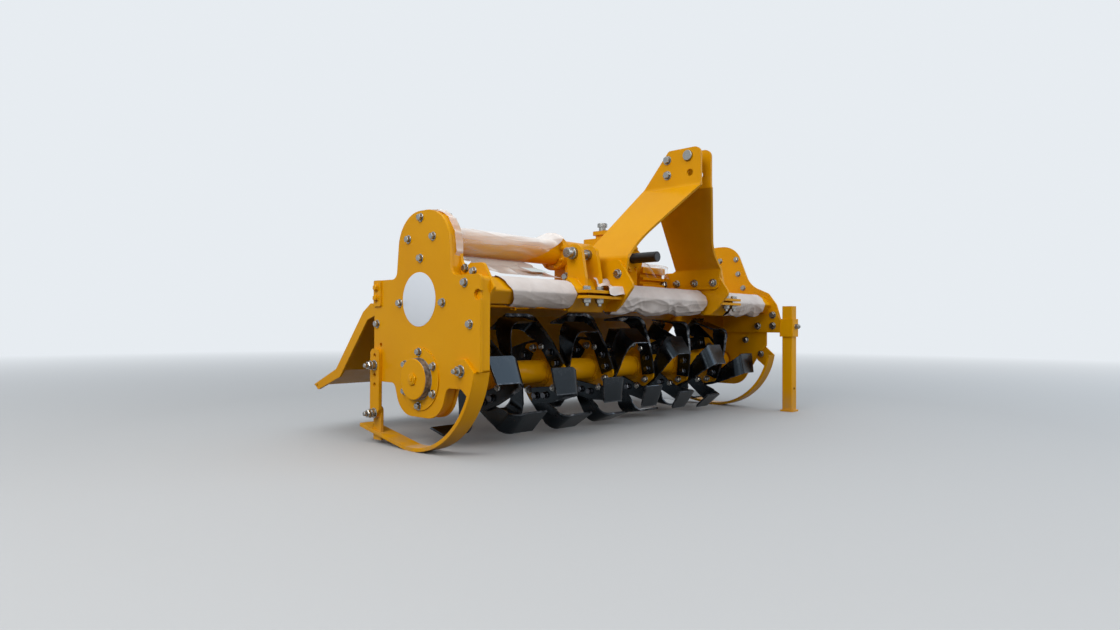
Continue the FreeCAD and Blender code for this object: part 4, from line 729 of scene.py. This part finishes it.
def foam_wrap(name, start, end, seed, sag, lump, slant):
    """Foam round the square beam: a rounded square on its corner, wound a little past one turn.

    The radius at angle s is that of |y|^p + |z|^p = c^p with p = 1.36, plus folds, plus a spiral
    of 3 mm. The lower half hangs down in lobes, sag * sqrt(w^2 + 0.06) of a slow wave w along x,
    and its folds are ridges of s + 0.42 of the lobe, so they sag with it.
    The end at start is cut on a slant, further in below.
    """
    length = end - start
    rows, columns = int(length / 0.0030), 128
    x, s = sheet_grid((start, end, rows), (-2.15, 2 * math.pi - 1.75, columns))
    power, corner, spiral = 1.36, 0.0442, 0.0030
    reach = corner / (np.abs(np.cos(s)) ** power + np.abs(np.sin(s)) ** power) ** (1 / power)
    reach += spiral * (s - s.min()) / (s.max() - s.min())
    low = np.clip(0.35 - np.sin(s), 0, 1.35) / 1.35
    narrow = creases(x, s, int(length * 60), (0.045, (0.0030, 0.0100)), 0.0024, seed)
    reach += narrow * (0.35 + 0.65 * low)
    wander = 2.2 * unit_noise(x, s * 0, seed + 2, 6, (5, 22))
    wave = np.sin(math.pi * (x - start) / 0.205 + 0.5 + wander)
    lobe = (np.sqrt(wave ** 2 + 0.06) - 0.245) / 0.785
    slanted = folded(x, s, seed + 9, 1.5, 13.0, 1.0) ** 2
    swag = folded(x, s + 0.42 * lobe, seed + 8, 2.3, 3.0, 0.75) ** 1.6
    fine = folded(x, s + 0.25 * lobe, seed + 6, 4.9, -11.0, 0.9) ** 3
    reach += lump * (0.18 + 0.82 * low) * (0.42 * swag + 0.34 * slanted + 0.22 * fine + 0.24 * lobe)
    hang = sag * (0.15 + 0.85 * lobe)
    ragged = 0.008 * unit_noise(s, s * 0, seed + 3, 6, (2, 9))
    edge = np.clip((x - start) / 0.02, 0, 1) * np.clip((end - x) / 0.02, 0, 1)
    x = x + ragged * (1 - edge) + slant * 0.5 * (1 - np.sin(s)) * (end - x) / length
    points = np.stack((x, AXIS_Y - BEAM_AHEAD - reach * np.cos(s),
                       BEAM_Z + reach * np.sin(s) - hang * low ** 2), -1)
    thing = sheet_mesh(name, "foam", points, rows, columns)
    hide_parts("beam_foam")


# Name, ends in x, seed, then the depth of its lobes and of its folds, and its slant.
FOAM_WRAPS = (
    ("foam_near", -0.828, -0.513, 20, 0.001, 0.0045, 0.050),
    ("foam_middle", -0.306, 0.306, 27, 0.012, 0.0130, 0.010),
    ("foam_far", 0.513, 0.828, 34, 0.009, 0.0095, 0.012),
)
for wrap in FOAM_WRAPS:
    foam_wrap(*wrap)


def foam_scrap():
    """Torn scrap of foam laid over the near clamp's lip: it bends from the slope over the edge."""
    rows, columns = 46, 30
    middle, width = -0.3675, 0.075
    x, s = sheet_grid((middle - width / 2, middle + width / 2, rows), (0, 1, columns))
    stops = [0, 0.42, 0.75, 1]
    path = np.interp(s, stops, [0.236, 0.262, 0.304, 0.316])
    height = np.interp(s, stops, [0.546, 0.518, 0.5165, 0.489])
    lump = 0.003 + 0.007 * (1 - folded(x, s * 3, 61, 1.4, 60, 1.2) ** 2)
    torn = 0.004 * unit_noise(s * 3, s * 0, 62, 5, (2, 9)) * (np.abs(x - middle) * 2 / width) ** 3
    points = np.stack((x + torn, AXIS_Y - path - lump * 0.5, height + lump), -1)
    thing = sheet_mesh("foam_scrap", "foam", points, rows, columns)


foam_scrap()


def film_wrap():
    """Film round the drive tube: drawn into long folds, crumpled over the flange by the gearbox.

    Its end there is cut back with (0.87 - sin s) / 1.6, so it reaches the flange on top alone.
    """
    start, end, flange_face, rows, columns = -0.872, -0.336, -0.3335, 220, 132
    length = end - start
    x, s = sheet_grid((start, end, rows), (-1.9, 2 * math.pi - 1.4, columns))
    hem = -0.165 * np.clip((0.87 - np.sin(s)) / 1.6, 0, 1)
    hem += 0.012 * unit_noise(s, s * 0, 84, 6, (2, 8))
    x =np.minimum(start + (x - start) * (length + hem) / length, flange_face)
    tube = 0.0455 + 0.0035 * (s - s.min()) / (s.max() - s.min())
    stops = [start, start + 0.03, start + 0.07, -0.440, -0.372, end]
    flare = np.interp(x, stops, [0.014, 0.005, 0, 0, 0.0205, 0.0220])
    flare *= np.where(x > -0.5, np.clip(0.5 + np.sin(s), 0, 1), 1)
    ridge = 0.6 * folded(x, s, 81, 2.6, 3.0, 0.55) ** 4
    ridge += 0.4 * folded(x, s, 88, 4.7, -5.0, 0.8) ** 3
    loose = np.clip((x + 0.47) / 0.07, 0, 1)
    crumple = folded(x, s, 87, 3.0, 36, 0.9) ** 2
    reach = tube + flare + 0.0040 * ridge + 0.0065 * crumple * loose
    reach += 0.0007 * unit_noise(x, s, 83, 9, (30, 90))
    hang = 0.007 * np.clip(-np.sin(s), 0, 1) ** 2
    points = np.stack((x, AXIS_Y - reach * np.cos(s), DRIVE_Z + reach * np.sin(s) - hang), -1)
    # Whiter towards the tube's top: painted sky reflection on the film. The whiteness of the folds and
    # the crumple is the film's own.
    milk_and_painted_sheen = 0.08 + 0.56 * np.clip(np.sin(s) + 0.20, 0, 1) + 0.30 * ridge ** 2
    milk_and_painted_sheen += (0.05 + 0.35 * crumple) * loose
    thing = sheet_mesh("drawn_film", "film", points, rows, columns, np.clip(milk_and_painted_sheen, 0, 0.9))
    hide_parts("tube_film")


film_wrap()


def film_collar():
    """Film drawn off the tube over its flange and round the case's edge.

    Ellipses whose middle and half axes run, along x, from the dome's to the tube's.
    """
    rows, columns = 44, 96
    x, s = sheet_grid((0, 1, rows), (-0.42, 2.30, columns))
    x = -0.848 - (1 - x) * (0.078 + 0.006 * unit_noise(s, s * 0, 89, 6, (3, 12)))
    stops = [-0.948, -0.900, -0.892, -0.872, -0.847]
    ridge = folded(x, s, 86, 6.5, 9.0, 0.5) ** 3
    width = np.interp(x, stops, [0.1225, 0.1265, 0.1060, 0.0720, 0.0560]) + 0.0035 * ridge
    tall = np.interp(x, stops, [0.1135, 0.1175, 0.1010, 0.0710, 0.0560]) + 0.0035 * ridge
    depth = np.interp(x, stops, [0.0205, 0.0205, 0.015, 0.004, 0.0])
    height = np.interp(x, stops, [0.632, 0.632, 0.640, 0.654, DRIVE_Z])
    points = np.stack((x, AXIS_Y - depth - width * np.cos(s), height + tall * np.sin(s)), -1)
    thing = sheet_mesh("film_collar", "film", points, rows, columns, 0.34 + 0.42 * ridge)


film_collar()


def hood_film():
    """Loose film from under the drive tube down over the hood's lip to the packing on the beam."""
    start, end, rows, columns = -0.800, -0.520, 120, 46
    length = end - start
    x, s = sheet_grid((start, end, rows), (0, 1, columns))
    stops = [0, 0.35, 0.75, 1]
    depth = np.interp(s, stops, [0.020, 0.070, 0.168, 0.206])
    height = np.interp(s, stops, [0.6135, 0.588, 0.558, 0.549])
    ridge = folded(x, s * 2, 91, 1.6, 26, 1.0) ** 3
    height += 0.007 * ridge * np.sin(math.pi * np.clip(s, 0.05, 0.95))
    hem = 0.015 * unit_noise(s * 3, s * 0, 93, 5, (2, 7)) * np.abs((x - start) / length - 0.5) * 2
    points = np.stack((x + hem, AXIS_Y - depth, height), -1)
    thing = sheet_mesh("hood_film", "slack_film", points, rows, columns, 0.66 + 0.30 * ridge)
    label = Batch("blank_label", "paper")
    upper, lower = (0.130, 0.582), (0.184, 0.5655)
    corners = [(x, ahead(depth), z) for x, (depth, z) in ((-0.648, upper), (-0.560, upper),
                                                         (-0.560, lower), (-0.648, lower))]
    label.add(corners, [(0, 1, 2, 3)])
    label.build()


hood_film()


def cradle_film():
    """Torn film over the far casting of the gearbox's cradle: up its front, over the top and down."""
    start, end, rows, columns = 0.130, 0.298, 60, 60
    x, s = sheet_grid((start, end, rows), (0, 1, columns))
    stops = [0, 0.30, 0.38, 0.70, 0.78, 1]
    depth = np.interp(s, stops, [0.078, 0.066, 0.052, -0.036, -0.050, -0.058])
    height = np.interp(s, stops, [0.590, 0.640, 0.651, 0.651, 0.640, 0.600])
    drop = np.clip((x - 0.286) / 0.026, 0, 1) ** 2 * 0.030
    ridge = folded(x, s * 3, 95, 1.0, 17, 1.0) ** 3
    lump = 0.002 + 0.007 * ridge
    torn = 0.008 * unit_noise(s * 4, s * 0, 97, 6, (2, 9)) * np.abs((x - 0.222) / 0.094) ** 3
    points = np.stack((x + torn, AXIS_Y - depth - lump * (depth > 0), height + lump - drop), -1)
    thing = sheet_mesh("cradle_film", "film", points, rows, columns, -0.10 + 0.5 * ridge)


cradle_film()


# ---- Light and stage ----

def area_lamp(name, place, aim, size, watts, color):
    """A broad oblong lamp at place that points at aim."""
    data = bpy.data.lights.new(name, "AREA")
    data.shape = "RECTANGLE"
    data.size = size[0]
    data.size_y = size[1]
    data.energy = watts
    data.color = color
    lamp = bpy.data.objects.new(name, data)
    lamp.location = place
    lamp.rotation_euler = (Vector(aim) - Vector(place)).to_track_quat("-Z", "Y").to_euler()
    bpy.context.collection.objects.link(lamp)


def seen(nodes, links):
    """1 for rays that show the backdrop: from the camera, off gloss or through what is clear."""
    path = nodes.new("ShaderNodeLightPath")
    total = path.outputs["Is Camera Ray"]
    for kind in ("Is Glossy Ray", "Is Transmission Ray"):
        total = combine(nodes, links, "MAXIMUM", total, path.outputs[kind])
    return total


def floor_grey():
    """Pale floor that throws little light back up, and runs into the backdrop's colour far off."""
    material, nodes, links, surface = new_material("floor_grey")
    shown = seen(nodes, links)
    tone = blend_colors(nodes, links, shown, (0.110, 0.103, 0.096), (0.48, 0.47, 0.46))
    links.new(tone, surface.inputs["Base Color"])
    surface.inputs["Roughness"].default_value = 0.8
    place = nodes.new("ShaderNodeTexCoord")
    reach = nodes.new("ShaderNodeVectorMath")
    reach.operation = "LENGTH"
    links.new(place.outputs["Object"], reach.inputs[0])
    far = ramp(nodes, links, reach.outputs["Value"], 1.9, 8.5)
    glow = nodes.new("ShaderNodeEmission")
    glow.inputs["Color"].default_value = BACKDROP + (1,)
    share = combine(nodes, links, "MULTIPLY", far, shown)
    mix_shaders(nodes, links, share, surface, glow, "Material Output")
    return material


def make_stage():
    """Pale floor and backdrop, a broad overhead lamp like an open sky, and soft fills."""
    world = bpy.data.worlds.new("studio")
    bpy.context.scene.world = world
    world.use_nodes = True
    nodes, links = world.node_tree.nodes, world.node_tree.links
    shade = nodes["Background"]
    shade.inputs["Color"].default_value = (0.80, 0.90, 1.0, 1)
    place = nodes.new("ShaderNodeTexCoord")
    height = nodes.new("ShaderNodeSeparateXYZ")
    links.new(place.outputs["Generated"], height.inputs["Vector"])
    links.new(ramp(nodes, links, height.outputs["Z"], 0.0, 0.8, 0.22, 0.72), shade.inputs["Strength"])
    backdrop = nodes.new("ShaderNodeBackground")
    backdrop.inputs["Color"].default_value = BACKDROP + (1,)
    backdrop.inputs["Strength"].default_value = 1.0
    mix_shaders(nodes, links, seen(nodes, links), shade, backdrop, "World Output")
    half = 60.0
    mesh = bpy.data.meshes.new("floor")
    corners = [(-half, -half, 0), (half, -half, 0), (half, half, 0), (-half, half, 0)]
    mesh.from_pydata(corners, [], [(0, 1, 2, 3)])
    floor = bpy.data.objects.new("floor", mesh)
    bpy.context.collection.objects.link(floor)
    mesh.materials.append(floor_grey())
    area_lamp("sky_soft", (-1.0, -0.6, 4.6), (0, 0, 0.3), (6, 6), 65, (0.92, 0.96, 1.0))
    area_lamp("left_soft", (-4.8, -1.0, 3.4), (-0.6, 0, 0.4), (3.2, 2.4), 140, (1.0, 0.98, 0.95))
    area_lamp("front_low", (-0.8, -5.0, 2.1), (0, 0, 0.25), (3.4, 1.2), 56, (1.0, 0.98, 0.95))
    area_lamp("right_sky", (4.4, -4.6, 3.0), (0, -0.4, 0.4), (5.0, 3.0), 95, (0.66, 0.82, 1.0))


make_stage()

bpy.context.scene.view_settings.view_transform = "Standard"
